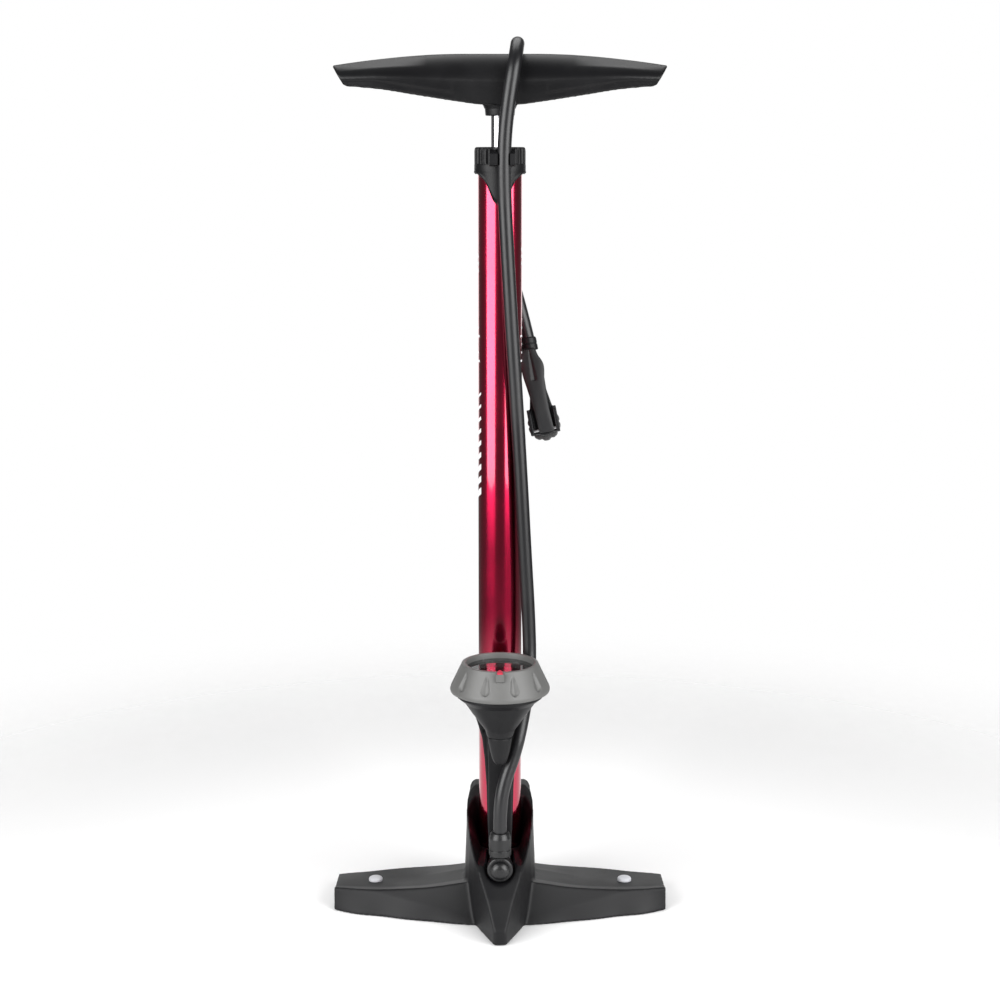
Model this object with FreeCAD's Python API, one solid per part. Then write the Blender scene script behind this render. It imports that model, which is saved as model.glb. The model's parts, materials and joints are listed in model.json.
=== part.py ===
"""Floor bike pump with a pressure gauge, as separate solids in millimetres.

The barrel stands on a three-pronged foot. The wide handle, rod and piston slide in it. Air leaves
through a check valve and a manifold to the gauge, and through a swivel fitting to the hose, whose
chuck hangs behind the barrel. +X is the pump's right, -Y its front with the gauge, +Z is up.
Everything is drawn with the barrel's axis at X = Y = 0, and write() then moves it back by axis_y,
which puts the origin under the middle of the pump, on the floor.
"""

import FreeCAD, Part
import math
import os

V = FreeCAD.Vector
X_AXIS = V(1, 0, 0)
Y_AXIS = V(0, 1, 0)
Z_AXIS = V(0, 0, 1)

# ---------------------------------------------------------------- driving dimensions
# clearances
running = 0.05  # radial, shaft in a bearing
sliding = 0.1  # radial, moulded pieces that slip into each other
soft_gap = 0.3  # between a soft piece and its neighbour

# barrel and piston
barrel_r = 16.0
barrel_wall = 1.5
barrel_bottom = 22.0
barrel_length = 541.0
piston_height = 16.0
piston_rest_gap = 4.0
rod_r = 6.5
rod_wall = 1.5

seal_low = 5.0
seal_height = 4.0
seal_inner = 10.5
bumper_thickness = 4.0

# foot
foot_half_width = 126.0
foot_front = 85.0
foot_rear = 51.0
wing_tip_front = 20.0
wing_tip_rear = 26.0
wing_tip_high = 18.5
wing_tip_low = 11.0
prong_half_width = 4.0
collar_top = 88.5
pad_r = 7.0
pad_thickness = 3.0
pad_depth = 2.0
stud_r = 5.25
stud_x = 96.0
stud_y = 3.0

# air way at the bottom
port_z = 32.0
port_r = 2.0
tube_r = 3.0
valve_room_r = 4.5
valve_room_y = 4.0
poppet_r = 3.6
manifold_half_width = 7.5
manifold_front = -44.0
manifold_bottom = 26.0
manifold_top = 57.0
gauge_tube_y = -31.0
gauge_tube_r = 2.0
gauge_tube_top = 158.0
swivel_z = 48.0
bolt_r = 4.0
elbow_r = 9.5
elbow_front = 59.0
elbow_rear = 49.0
dome_r = 7.0
ferrule_r = 8.25
ferrule_length = 18.5
stem_r = 3.0

# cap and hose hooks
cap_height = 19.0
cap_roof = 8.0
cap_flutes = 24
tongue_length = 21.5

# gauge
gauge_bottom = 150.0
tail_r = 8.85
tail_length = 22.0
funnel_wall = 2.2
rim_r = 29.0
rim_top = 192.0
bezel_bottom = 184.0
bezel_edge = 187.0
bezel_top = 205.5
bezel_lip = 2.8  # radial, flat top of the bezel
gauge_gap = 3.0  # between the bezel and the barrel
bezel_dimples = 10
dial_z = 186.0
lens_thickness = 2.0
gasket_thickness = 1.0
marker_half_width = 2.0

# gauge movement
gear_module = 0.5
pinion_teeth = 8
sector_gear_teeth = 64
sector_span_teeth = 12
tooth_half_root = 0.34
tooth_half_tip = 0.12
gear_thickness = 1.2
socket_r = 4.0
bourdon_r = 13.0
shaft_r = 0.8
needle_zero = 225.0

# gauge bracket
bracket_half_width = 8.75
ring_bottom = 152.0
ring_top = 168.0
clamp_screw_r = 1.4
clamp_screw_z = 160.0

# handle
handle_half_length = 119.0
handle_end_drop = 8.5
handle_width = 39.0
handle_end_width = 30.0
handle_sweep = 4.5
core_inset = 4.5
pin_r = 1.75

# hose and chuck
hose_r = 5.0
chuck_top = V(20.5, 21.0, 432.0)
chuck_back_tilt = 12.5
chuck_side_tilt = 11.0
chuck_head_drop = 64.0
valve_r = 4.0
collar_length = 9.0
head_r = 9.5
head_back = -7.0
head_front = 7.5
nut_r = 12.0
nut_end = 17.0
nose_r = 7.8
nose_end = 22.0
insert_r = 5.5
insert_end = 25.6
plunger_r = 3.4
plunger_back = 1.0
lever_back = -7.4
lever_thickness = 4.2
lever_half_width = 8.0
lever_pin_r = 1.0
lug_thickness = 2.8

# ---------------------------------------------------------------- worked out from them
barrel_bore = barrel_r - barrel_wall
bushing_r = rod_r + 2.5
hub_r = rod_r + 4.0
cap_r = barrel_r + 2.5
ring_r = barrel_r + 5.0
spine_half_width = barrel_r + 10.5
hook_reach = barrel_r + 13.5
manifold_rear = -(barrel_r + 4.0)
bezel_r = rim_r + 7.0
bezel_opening_r = rim_r - 4.5
plate_r = rim_r - 5.0
gauge_y = -(barrel_r + gauge_gap + bezel_r)
barrel_top = barrel_bottom + barrel_length
cap_top = barrel_top + cap_roof
cap_bottom = cap_top - cap_height
hub_bottom = cap_top + 22.0
handle_top = hub_bottom + 43.0
rod_top = hub_bottom + 19.0
pin_z = hub_bottom + 5.5
seat_r = barrel_r + sliding
plug_top = barrel_bottom + 18.0
bushing_bottom = barrel_top - 18.0
piston_bottom = plug_top + piston_rest_gap
piston_top = piston_bottom + piston_height
stroke = bushing_bottom - bumper_thickness - soft_gap - piston_top
foot_bottom = pad_thickness - pad_depth
ferrule_bottom = swivel_z + elbow_r + sliding
ferrule_top = ferrule_bottom + ferrule_length
bourdon_z = gauge_bottom + 20.0
plate_z = gauge_bottom + 31.0
gear_z = plate_z + 1.8
needle_z = dial_z + 2.2
lever_pivot_y = lever_back - lever_thickness / 2
lever_pivot_z = -chuck_head_drop - 5.5
lug_inner = lever_half_width + 2 * sliding
pinion_r = gear_module * pinion_teeth / 2
sector_r = gear_module * sector_gear_teeth / 2
sector_pivot = V(0, gauge_y + pinion_r + sector_r, 0)
axis_y = (bezel_r - gauge_y - foot_rear) / 2


# ---------------------------------------------------------------- helpers
def cylinder(r, z0, z1, x=0.0, y=0.0):
    """Upright cylinder from z0 to z1."""
    return Part.makeCylinder(r, z1 - z0, V(x, y, z0))


def along_y(r, y0, y1, z, x=0.0):
    """Cylinder lying along Y from y0 to y1."""
    return Part.makeCylinder(r, y1 - y0, V(x, y0, z), Y_AXIS)


def along_x(r, x0, x1, y, z):
    """Cylinder lying along X from x0 to x1."""
    return Part.makeCylinder(r, x1 - x0, V(x0, y, z), X_AXIS)


def ring(outer, inner, z0, z1, x=0.0, y=0.0):
    """Upright tube from z0 to z1."""
    return cylinder(outer, z0, z1, x, y).cut(cylinder(inner, z0 - 1, z1 + 1, x, y))


def block(x0, x1, y0, y1, z0, z1):
    return Part.makeBox(x1 - x0, y1 - y0, z1 - z0, V(x0, y0, z0))


def polygon_face(points):
    wire = Part.makePolygon(points + [points[0]])
    return Part.Face(wire)


def turned(profile, x=0.0, y=0.0):
    """Solid of revolution: a closed (radius, z) profile turned about an upright axis."""
    face = polygon_face([V(r, 0, z) for r, z in profile])
    solid = face.revolve(V(0, 0, 0), Z_AXIS, 360)
    solid.translate(V(x, y, 0))
    return solid


def plan(points, z0, z1):
    """Prism standing on a closed (x, y) outline."""
    return polygon_face([V(x, y, z0) for x, y in points]).extrude(V(0, 0, z1 - z0))


def side(points, x0, x1):
    """Prism across the pump from x0 to x1 with a closed (y, z) outline."""
    return polygon_face([V(x0, y, z) for y, z in points]).extrude(V(x1 - x0, 0, 0))


def mirrored(points):
    """The right half of an outline, with its left half added in reverse order."""
    return points + [(-x, y) for x, y in reversed(points) if x > 0]


def one(shape):
    """The shape with its seams merged."""
    return shape.removeSplitter()


def group(shapes):
    return Part.makeCompound(shapes)


def write(name, shape, moved=None):
    """Moves the piece from its own frame to the pump's, and writes it as STEP."""
    shape = shape.copy()
    if moved is not None:
        shape.Placement = moved.multiply(shape.Placement)
    shape.translate(V(0, axis_y, 0))
    shape.exportStep(f"parts/{name}.step")
    print(f"{name}: {len(shape.Solids)} solid(s), {shape.Volume:.1f} mm3, valid {shape.isValid()}")


# ---------------------------------------------------------------- foot
def wing_section(x, front, rear, high, low):
    """Closed wire across a wing at x: high crest in front, dished top, low rear edge."""
    crest_y = -front + 0.45 * high
    points = [
        V(x, -front, foot_bottom),
        V(x, crest_y, high),
        V(x, (crest_y + rear) / 2, low + 0.35 * (high - low) - 1.0),
        V(x, rear - 1.5, low),
        V(x, rear, foot_bottom),
    ]
    return Part.makePolygon(points + [points[0]])


def foot_wings():
    """Both wings, lofted from the tips to the middle."""
    stations = [
        (1.0, wing_tip_front, wing_tip_rear, wing_tip_high, wing_tip_low),
        (0.68, 33.0, 34.5, 19.0, 12.0),
        (0.4, 43.5, 41.0, 23.0, 13.5),
        (0.1, 49.5, 45.0, 29.0, 17.0),
    ]
    half = [(share * foot_half_width, *rest) for share, *rest in stations]
    full = half + [(-x, *rest) for x, *rest in reversed(half)]
    return Part.makeLoft([wing_section(*s) for s in full], True, True)


def foot_spine():
    """The middle of the foot: finger scallops behind, a crest that falls to the front prong."""
    outline = [
        (foot_rear, foot_bottom),
        (foot_rear, 5.0),
        (44.0, 36.0),
        (31.0, 49.0),
        (38.0, 58.0),
        (23.0, 74.0),
        (30.0, collar_top - 3.0),
        (17.0, collar_top),
        (-1.0, 75.0),
        (-22.0, 64.0),
        (-43.0, 50.5),
        (-53.0, 44.0),
        (-foot_front + 4.5, 15.5),
        (-foot_front, 9.5),
        (-foot_front, foot_bottom),
    ]
    body = side(outline, -spine_half_width, spine_half_width)
    half_plan = [
        (20.0, foot_rear + 1),
        (spine_half_width, 30.0),
        (spine_half_width, -14.0),
        (19.0, -44.0),
        (prong_half_width, -foot_front - 1),
    ]
    return body.common(plan(mirrored(half_plan), 0, collar_top + 1))


def pad_places():
    """Where the rubber pads sit under the foot: wing tips, prong and heel."""
    wing_x = foot_half_width - 12.0
    return [(wing_x, 2.0), (-wing_x, 2.0), (0.0, -foot_front + 18.0), (0.0, foot_rear - 10.0)]


def screw_places():
    """The three screws that hold the barrel's plug to the foot."""
    return [
        (9.0 * math.sin(math.radians(a)), 9.0 * math.cos(math.radians(a))) for a in (0, 120, 240)
    ]


def base_foot():
    foot = foot_wings().fuse(foot_spine())
    foot = foot.cut(cylinder(seat_r, barrel_bottom - 6.0, collar_top + 10))
    trough = [(12.5, -10.0), (12.5, -34.0), (9.0, -50.0), (4.0, -58.0)]
    foot = foot.cut(plan(mirrored(trough), 36.0, collar_top))
    well = manifold_half_width + sliding
    foot = foot.cut(block(-well, well, manifold_front - sliding, -10.0, 24.0, collar_top))
    elbow_room = elbow_r + soft_gap
    foot = foot.cut(along_y(elbow_room, -elbow_front - 8.0, -elbow_rear + 5.0, swivel_z))
    for sign in (-1, 1):
        near, far = sorted((sign * 34.0, sign * (foot_half_width - 22.0)))
        foot = foot.cut(block(near, far, -16.0, 20.0, 0.0, 7.5))
        foot = foot.cut(cylinder(stud_r + sliding, 9.0, 40.0, sign * stud_x, stud_y))
    for x, y in pad_places():
        foot = foot.cut(cylinder(pad_r + sliding, 0.0, pad_thickness, x, y))
    for x, y in screw_places():
        foot = foot.cut(cylinder(2.1, 0.0, 20.0, x, y))
        foot = foot.cut(cylinder(4.1, 0.0, 8.0, x, y))
    return one(foot)


def foot_pads():
    return group([cylinder(pad_r, 0.0, pad_thickness, x, y) for x, y in pad_places()])


def wing_studs():
    """Oval grip studs let into the top of the wings."""
    return group([cylinder(stud_r, 9.0, 16.4, s * stud_x, stud_y) for s in (-1, 1)])


def base_screws():
    """Pan head, shank and thread in one solid each."""
    screws = []
    for x, y in screw_places():
        head = cylinder(3.9, 5.5, 8.0, x, y)
        screws.append(one(head.fuse(cylinder(2.0, 8.0, 26.0, x, y))))
    return group(screws)


# ---------------------------------------------------------------- barrel, bottom plug, check valve
def barrel():
    tube = ring(barrel_r, barrel_bore, barrel_bottom, barrel_top)
    return tube.cut(along_y(tube_r + sliding, -barrel_r - 1, 0, port_z))


def bottom_plug():
    """Closes the barrel's foot; the bore on its side holds the check valve."""
    plug = cylinder(barrel_r, barrel_bottom - 6.0, barrel_bottom)
    plug = plug.fuse(cylinder(barrel_bore - running, barrel_bottom, plug_top))
    plug = plug.cut(ring(barrel_bore + 1, barrel_bore - 2.0, plug_top - 4.5, plug_top - 2.0))
    plug = plug.cut(along_y(valve_room_r, -10.0, valve_room_y, port_z))
    plug = plug.cut(along_y(tube_r, -barrel_r, -8.0, port_z))
    plug = plug.cut(along_y(port_r, valve_room_y - 1, 8.0, port_z))
    plug = plug.cut(cylinder(port_r, port_z, plug_top + 1, 0, 8.0 - port_r))
    for x, y in screw_places():
        plug = plug.cut(cylinder(2.0, barrel_bottom - 7.0, 26.0, x, y))
    return one(plug)


def plug_seal():
    """O-ring in the plug's groove, flattened against the barrel."""
    return ring(barrel_bore, barrel_bore - 2.0, plug_top - 4.5, plug_top - 2.0)


def check_valve():
    """Poppet that air lifts forwards off its seat."""
    disc = along_y(poppet_r, valve_room_y - 2.5, valve_room_y, port_z)
    guide = along_y(1.2, valve_room_y - 6.0, valve_room_y - 2.0, port_z)
    return one(disc.fuse(guide))


def check_valve_spring():
    """Small compression spring between the poppet and the outlet tube."""
    wire_r = 0.3
    coil_r = 2.3
    length = valve_room_y - 2.5 + 8.0 - 2 * wire_r
    helix = Part.makeHelix(length / 5.0, length, coil_r)
    start = Part.Wire(Part.makeCircle(wire_r, V(coil_r, 0, 0), Y_AXIS))
    coil = Part.Wire(helix).makePipeShell([start], True, True)
    coil.rotate(V(0, 0, 0), X_AXIS, -90)
    coil.translate(V(0, -8.0 + wire_r, port_z))
    return coil


# ---------------------------------------------------------------- air way to hose and gauge
def outlet_tube():
    """Short brass tube from the plug through the barrel's wall into the manifold."""
    tube = along_y(tube_r, manifold_rear - 6.0, -8.0, port_z)
    return tube.cut(along_y(port_r, manifold_rear - 7.0, -7.0, port_z))


def manifold():
    """Splits the air: forwards to the hose bolt and up to the gauge tube."""
    body = block(
        -manifold_half_width,
        manifold_half_width,
        manifold_front,
        manifold_rear,
        manifold_bottom,
        manifold_top,
    )
    body = body.cut(along_y(tube_r, manifold_rear - 6.0, manifold_rear + 1, port_z))
    body = body.cut(along_y(port_r, gauge_tube_y, manifold_rear - 5.0, port_z))
    body = body.cut(cylinder(port_r, port_z, swivel_z, 0, gauge_tube_y))
    body = body.cut(along_y(port_r, manifold_front + 7.0, gauge_tube_y, swivel_z))
    body = body.cut(along_y(bolt_r, manifold_front - 1, manifold_front + 8.0, swivel_z))
    body = body.cut(cylinder(gauge_tube_r, swivel_z - 2, manifold_top + 1, 0, gauge_tube_y))
    return one(body)


def gauge_air_tube():
    """Copper capillary up the bracket and forwards to the gauge's socket."""
    bore = gauge_tube_r - 0.8
    bend = 6.0
    centre = V(0, gauge_tube_y - bend, gauge_tube_top - bend)
    middle = centre + V(0, bend * math.sin(math.pi / 4), bend * math.cos(math.pi / 4))
    rise = V(0, gauge_tube_y, gauge_tube_top - bend)
    over = V(0, gauge_tube_y - bend, gauge_tube_top)
    start = V(0, gauge_tube_y, manifold_top - 6.0)
    end = V(0, gauge_y + socket_r, gauge_tube_top)
    path = Part.Wire(
        [
            Part.LineSegment(start, rise).toShape(),
            Part.Arc(rise, middle, over).toShape(),
            Part.LineSegment(over, end).toShape(),
        ]
    )
    outer = path.makePipeShell([Part.Wire(Part.makeCircle(gauge_tube_r, start, Z_AXIS))], True, True)
    inner = path.makePipeShell([Part.Wire(Part.makeCircle(bore, start, Z_AXIS))], True, True)
    return outer.cut(inner)


def swivel_bolt():
    """Hollow bolt that the hose elbow turns on, with a domed head in front."""
    shank_front = -elbow_front - sliding
    shank = along_y(bolt_r, shank_front - 1.0, manifold_front + 8.0, swivel_z)
    profile = [
        (0, 0),
        (dome_r, 0),
        (dome_r, 1.5),
        (0.93 * dome_r, 2.8),
        (0.78 * dome_r, 3.9),
        (0.55 * dome_r, 4.8),
        (0.28 * dome_r, 5.3),
        (0, 5.4),
    ]
    head = turned(profile)
    head.rotate(V(0, 0, 0), X_AXIS, 90)
    head.translate(V(0, shank_front, swivel_z))
    bolt = shank.fuse(head).cut(along_y(1.6, -55.0, manifold_front + 9.0, swivel_z))
    return bolt.cut(cylinder(1.2, swivel_z, swivel_z + 6, 0, -54.0))


def swivel_elbow():
    """Round body of the swivel with the short neck that holds the ferrule."""
    mid_y = -(elbow_front + elbow_rear) / 2
    body = along_y(elbow_r, -elbow_front, -elbow_rear, swivel_z)
    rim = 1.6
    body = body.makeFillet(rim, [e for e in body.Edges if abs(e.Length - 2 * math.pi * elbow_r) < 0.1])
    neck = cylinder((elbow_front - elbow_rear) / 2 - 0.2, swivel_z, ferrule_bottom, 0, mid_y)
    stem = cylinder(stem_r, ferrule_bottom - 1, ferrule_top - 4.0, 0, mid_y)
    body = body.fuse(neck).fuse(stem)
    body = body.cut(cylinder(1.6, swivel_z, swivel_z + 30, 0, mid_y))
    body = body.cut(along_y(bolt_r + running, -elbow_front - 1, -elbow_rear + 1, swivel_z))
    for y in seal_places():
        body = body.cut(along_y(bolt_r + 1.5, y, y + 1.5, swivel_z))
    return one(body)


def seal_places():
    return [-elbow_front + 1.5, -elbow_rear - 3.0]


def swivel_seals():
    """O-rings each side of the elbow's air groove."""
    seals = []
    for y in seal_places():
        outer = along_y(bolt_r + 1.5, y, y + 1.5, swivel_z)
        seals.append(outer.cut(along_y(bolt_r + running, y - 1, y + 3, swivel_z)))
    return group(seals)


def swivel_washer():
    """Plain washer between the elbow and the manifold."""
    outer = along_y(6.5, -elbow_rear + sliding, manifold_front, swivel_z)
    return outer.cut(along_y(bolt_r, -elbow_rear, manifold_front + 1, swivel_z))


def hose_ferrule():
    """Crimped sleeve round the hose's end and the elbow's stem."""
    mid_y = -(elbow_front + elbow_rear) / 2
    sleeve = cylinder(ferrule_r, ferrule_bottom, ferrule_top, 0, mid_y)
    sleeve = sleeve.makeChamfer(1.0, [e for e in sleeve.Edges if len(e.Vertexes) == 1])
    return sleeve.cut(cylinder(stem_r, ferrule_bottom - 1, ferrule_top + 1, 0, mid_y))


# ---------------------------------------------------------------- cap
def hose_hook(sign, hose):
    """Arm on the cap's front (-1) or rear (+1) with a groove that the hose snaps into."""
    arm_bottom = cap_top - 15.0
    outline = [
        (sign * (barrel_r - 1.0), arm_bottom),
        (sign * (barrel_r - 1.0), cap_top),
        (sign * (barrel_r + 6.0), cap_top - 1.2),
        (sign * hook_reach, cap_top - 4.5),
        (sign * hook_reach, cap_top - 13.0),
        (sign * (barrel_r + 6.0), arm_bottom),
    ]
    arm = side(outline, -8.0, 3.0)
    groove = cylinder(hose_r + soft_gap, arm_bottom - 1, cap_top + 1, hose.x, hose.y)
    return arm.cut(groove)


def barrel_cap():
    """Screw cap with grip flutes, two tongues on the barrel and two hose hooks."""
    cap = cylinder(cap_r, cap_bottom, cap_top)
    for n in range(cap_flutes):
        angle = 2 * math.pi * (n + 0.5) / cap_flutes
        reach = cap_r + 0.9
        x = reach * math.cos(angle)
        y = reach * math.sin(angle)
        cap = cap.cut(cylinder(1.6, cap_bottom + 5.0, cap_top - 2.5, x, y))
    skirt = ring(seat_r + 1.9, seat_r, cap_bottom - tongue_length, cap_bottom + 1)
    tongue = [
        (-14.0, cap_bottom + 2),
        (-14.0, cap_bottom - 3.0),
        (-7.5, cap_bottom - 10.0),
        (-3.0, cap_bottom - tongue_length),
        (3.0, cap_bottom - tongue_length),
        (7.5, cap_bottom - 10.0),
        (14.0, cap_bottom - 3.0),
        (14.0, cap_bottom + 2),
    ]
    face = polygon_face([V(x, -30, z) for x, z in tongue])
    cap = cap.fuse(skirt.common(face.extrude(V(0, 60, 0))))
    front, rear = hook_points()
    cap = cap.fuse(hose_hook(-1, front)).fuse(hose_hook(1, rear))
    cap = cap.cut(cylinder(seat_r, cap_bottom - 30, barrel_top))
    cap = cap.cut(cylinder(bushing_r, barrel_top - 1, cap_top + 1))
    return one(cap)


def rod_bushing():
    """Guides the rod in the barrel's mouth; its flange sits on the barrel's end."""
    body = cylinder(barrel_bore - sliding, bushing_bottom, barrel_top)
    body = body.fuse(cylinder(bushing_r, barrel_top - 1, cap_top - 1.0))
    body = body.cut(cylinder(rod_r + running, bushing_bottom - 1, cap_top))
    body = body.cut(ring(barrel_bore + 1, 10.5, bushing_bottom + 5.0, barrel_top - 5.0))
    return one(body)


def rod_wiper():
    """Soft ring in the cap's mouth that keeps dirt off the bushing."""
    return ring(bushing_r, rod_r + soft_gap, cap_top - 1.0, cap_top)


def top_bumper():
    """Rubber ring that the piston meets at the top of its stroke."""
    return ring(barrel_bore - 1.0, rod_r + soft_gap, bushing_bottom - bumper_thickness, bushing_bottom)


# ---------------------------------------------------------------- gauge
def funnel_profile():
    """Outside of the gauge's housing, as (radius, z) from the bottom up."""
    return [
        (tail_r + 0.6, gauge_bottom),
        (tail_r + 2.0, gauge_bottom + 5.0),
        (17.0, gauge_bottom + 13.5),
        (rim_r - 3.0, gauge_bottom + 26.5),
        (rim_r + 2.5, gauge_bottom + 31.0),
        (rim_r + 2.5, bezel_bottom - 0.3),
        (rim_r, bezel_bottom - 0.3),
        (rim_r, rim_top),
    ]


def gauge_housing():
    outer = turned([(0, gauge_bottom)] + funnel_profile() + [(0, rim_top)], 0, gauge_y)
    wall = funnel_wall
    inner = [
        (0, gauge_bottom + 3.0),
        (tail_r - 1.0, gauge_bottom + 3.0),
        (17.0 - wall, gauge_bottom + 14.5),
        (rim_r - 3.0 - wall, gauge_bottom + 27.5),
        (rim_r - wall, gauge_bottom + 31.5),
        (rim_r - wall, rim_top + 1),
        (0, rim_top + 1),
    ]
    housing = outer.cut(turned(inner, 0, gauge_y))
    housing = housing.fuse(ring(rim_r - 0.5, rim_r - wall - 2.0, dial_z - 1.5, dial_z, 0, gauge_y))
    housing = housing.cut(cylinder(4.0, gauge_bottom - 1, gauge_bottom + 4, 0, gauge_y))
    way = along_y(gauge_tube_r + sliding, gauge_y, gauge_tube_y, gauge_tube_top)
    return one(housing.cut(way))


def gauge_socket():
    """Threaded brass socket that the bourdon tube is soldered into."""
    body = cylinder(socket_r, gauge_bottom - 8.0, gauge_bottom + 20.0, 0, gauge_y)
    return body.cut(cylinder(1.2, gauge_tube_top, gauge_bottom + 19.0, 0, gauge_y))


def gauge_tail():
    """Domed nut under the gauge, screwed on the socket."""
    low = gauge_bottom - tail_length
    profile = [
        (0, low),
        (3.5, low + 0.6),
        (6.4, low + 2.6),
        (8.2, low + 6.0),
        (tail_r, low + 10.0),
        (tail_r, gauge_bottom),
        (0, gauge_bottom),
    ]
    body = turned(profile, 0, gauge_y)
    return body.cut(cylinder(socket_r, gauge_bottom - 8.0, gauge_bottom + 1, 0, gauge_y))


def bourdon_tube():
    """Flat tube bent round most of a circle; pressure straightens it."""
    half_width = 1.2
    outline = [
        V(bourdon_r - half_width, 0, bourdon_z),
        V(bourdon_r + half_width, 0, bourdon_z),
        V(bourdon_r + half_width, 0, bourdon_z + 5.0),
        V(bourdon_r - half_width, 0, bourdon_z + 5.0),
    ]
    arc = polygon_face(outline).revolve(V(0, 0, 0), Z_AXIS, 270)
    arm = block(0, bourdon_r, -half_width, half_width, bourdon_z, bourdon_z + 5.0)
    body = arc.fuse(arm)
    body.translate(V(0, gauge_y, 0))
    return one(body)


def movement_plate():
    """Brass plate that carries the needle's shaft and the sector's pivot."""
    plate = cylinder(plate_r, plate_z, plate_z + 1.2, 0, gauge_y)
    plate = plate.cut(cylinder(shaft_r + running, plate_z - 1, plate_z + 2, 0, gauge_y))
    pivot = sector_pivot
    return plate.cut(cylinder(1.0, plate_z - 1, plate_z + 2, pivot.x, pivot.y))


def sector_pin():
    """Pivot pin pressed into the movement plate."""
    return cylinder(1.0, plate_z, gear_z + gear_thickness + 0.6, sector_pivot.x, sector_pivot.y)


def tooth(root_r, tip_r, half_root, half_tip, z0, z1):
    """One straight-sided tooth that points along +X."""
    outline = [
        (root_r - 0.3, -half_root),
        (tip_r, -half_tip),
        (tip_r, half_tip),
        (root_r - 0.3, half_root),
    ]
    return plan(outline, z0, z1)


def sector_gear():
    """Toothed sector, in mesh with the needle's pinion at rest."""
    tip = sector_r + 0.4
    root = sector_r - 0.6
    step = 360.0 / sector_gear_teeth
    span = sector_span_teeth * step
    start = -90.0 - (sector_span_teeth - 2) * step
    body = Part.makeCylinder(root, gear_thickness, V(0, 0, gear_z), Z_AXIS, span)
    body.rotate(V(0, 0, 0), Z_AXIS, start)
    body = body.fuse(cylinder(2.4, gear_z, gear_z + gear_thickness))
    for n in range(sector_span_teeth + 1):
        one_tooth = tooth(root, tip, tooth_half_root, tooth_half_tip, gear_z, gear_z + gear_thickness)
        one_tooth.rotate(V(0, 0, 0), Z_AXIS, start + n * step)
        body = body.fuse(one_tooth)
    body = body.cut(cylinder(1.0 + running, gear_z - 1, gear_z + 3))
    body.translate(sector_pivot)
    return one(body)


def needle_pinion():
    """Needle shaft with its pinion; the gap between two teeth faces the sector at rest."""
    tip = pinion_r + 0.4
    root = pinion_r - 0.6
    shaft_bottom = plate_z - 1.0
    body = cylinder(shaft_r, shaft_bottom, needle_z + 1.0)
    body = body.fuse(cylinder(root, gear_z, gear_z + gear_thickness))
    step = 360.0 / pinion_teeth
    for n in range(pinion_teeth):
        one_tooth = tooth(root, tip, tooth_half_root, tooth_half_tip, gear_z, gear_z + gear_thickness)
        one_tooth.rotate(V(0, 0, 0), Z_AXIS, 90.0 + (n + 0.5) * step)
        body = body.fuse(one_tooth)
    body.translate(V(0, gauge_y, 0))
    return one(body)


def needle():
    """Pointer above the dial, with its balancing tail."""
    outline = [(-7.0, -1.0), (0.0, -1.3), (19.5, -0.25), (19.5, 0.25), (0.0, 1.3), (-7.0, 1.0)]
    body = plan(outline, needle_z, needle_z + 0.6).fuse(cylinder(2.6, needle_z, needle_z + 1.2))
    body = body.cut(cylinder(shaft_r, needle_z - 1, needle_z + 1.0))
    body.rotate(V(0, 0, 0), Z_AXIS, needle_zero)
    body.translate(V(0, gauge_y, 0))
    return one(body)


def dial():
    face = cylinder(rim_r - funnel_wall - sliding, dial_z, dial_z + 0.8, 0, gauge_y)
    return face.cut(cylinder(1.6, dial_z - 1, dial_z + 2, 0, gauge_y))


def lens_gasket():
    return ring(rim_r, rim_r - funnel_wall, rim_top, rim_top + gasket_thickness, 0, gauge_y)


def gauge_lens():
    """Clear cover with a flange under the bezel and a raised hollow window in its opening."""
    bottom = rim_top + gasket_thickness
    window_top = bezel_top - 4.0
    window_r = bezel_opening_r - soft_gap
    lens = cylinder(rim_r - sliding, bottom, bottom + lens_thickness, 0, gauge_y)
    lens = lens.fuse(cylinder(window_r, bottom, window_top, 0, gauge_y))
    return one(lens.cut(cylinder(window_r - 1.5, bottom - 1, window_top - 1.5, 0, gauge_y)))


def bezel_ring():
    """Turning cone round the lens, with finger dimples and a tab for the marker."""
    bore = rim_r + running
    lens_top = rim_top + gasket_thickness + lens_thickness
    profile = [
        (bore, bezel_bottom),
        (bezel_r - 3.0, bezel_bottom),
        (bezel_r, bezel_edge - 1.0),
        (bezel_r, bezel_edge + 1.0),
        (bezel_opening_r + bezel_lip, bezel_top),
        (bezel_opening_r, bezel_top - 0.8),
        (bezel_opening_r, lens_top + 4.0),
        (bore - 2.5, lens_top + sliding),
        (bore, lens_top + sliding),
    ]
    body = turned(profile)
    for n in range(bezel_dimples):
        angle = math.radians(36.0 * n + 18.0 - 90.0)
        reach = bezel_r + 0.5
        centre = V(reach * math.cos(angle), reach * math.sin(angle), 196.0)
        body = body.cut(Part.makeSphere(6.2, centre))
    front, back = -(bezel_r - 3.0), -(bezel_opening_r - 4.5)
    notch = block(-marker_half_width, marker_half_width, front, back, bezel_top - 3.0, bezel_top + 1)
    body = body.cut(notch)
    body.translate(V(0, gauge_y, 0))
    return one(body)


def bezel_marker():
    """Red pointer snapped into the bezel's notch, over the edge of the lens."""
    outline = [
        (-marker_half_width, -(bezel_r - 8.0)),
        (marker_half_width, -(bezel_r - 8.0)),
        (marker_half_width, -(bezel_opening_r + 0.1)),
        (0.0, -(bezel_opening_r - 3.5)),
        (-marker_half_width, -(bezel_opening_r + 0.1)),
    ]
    body = plan(outline, bezel_top - 3.0, bezel_top - 1.4)
    body.translate(V(0, gauge_y, 0))
    return body


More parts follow.
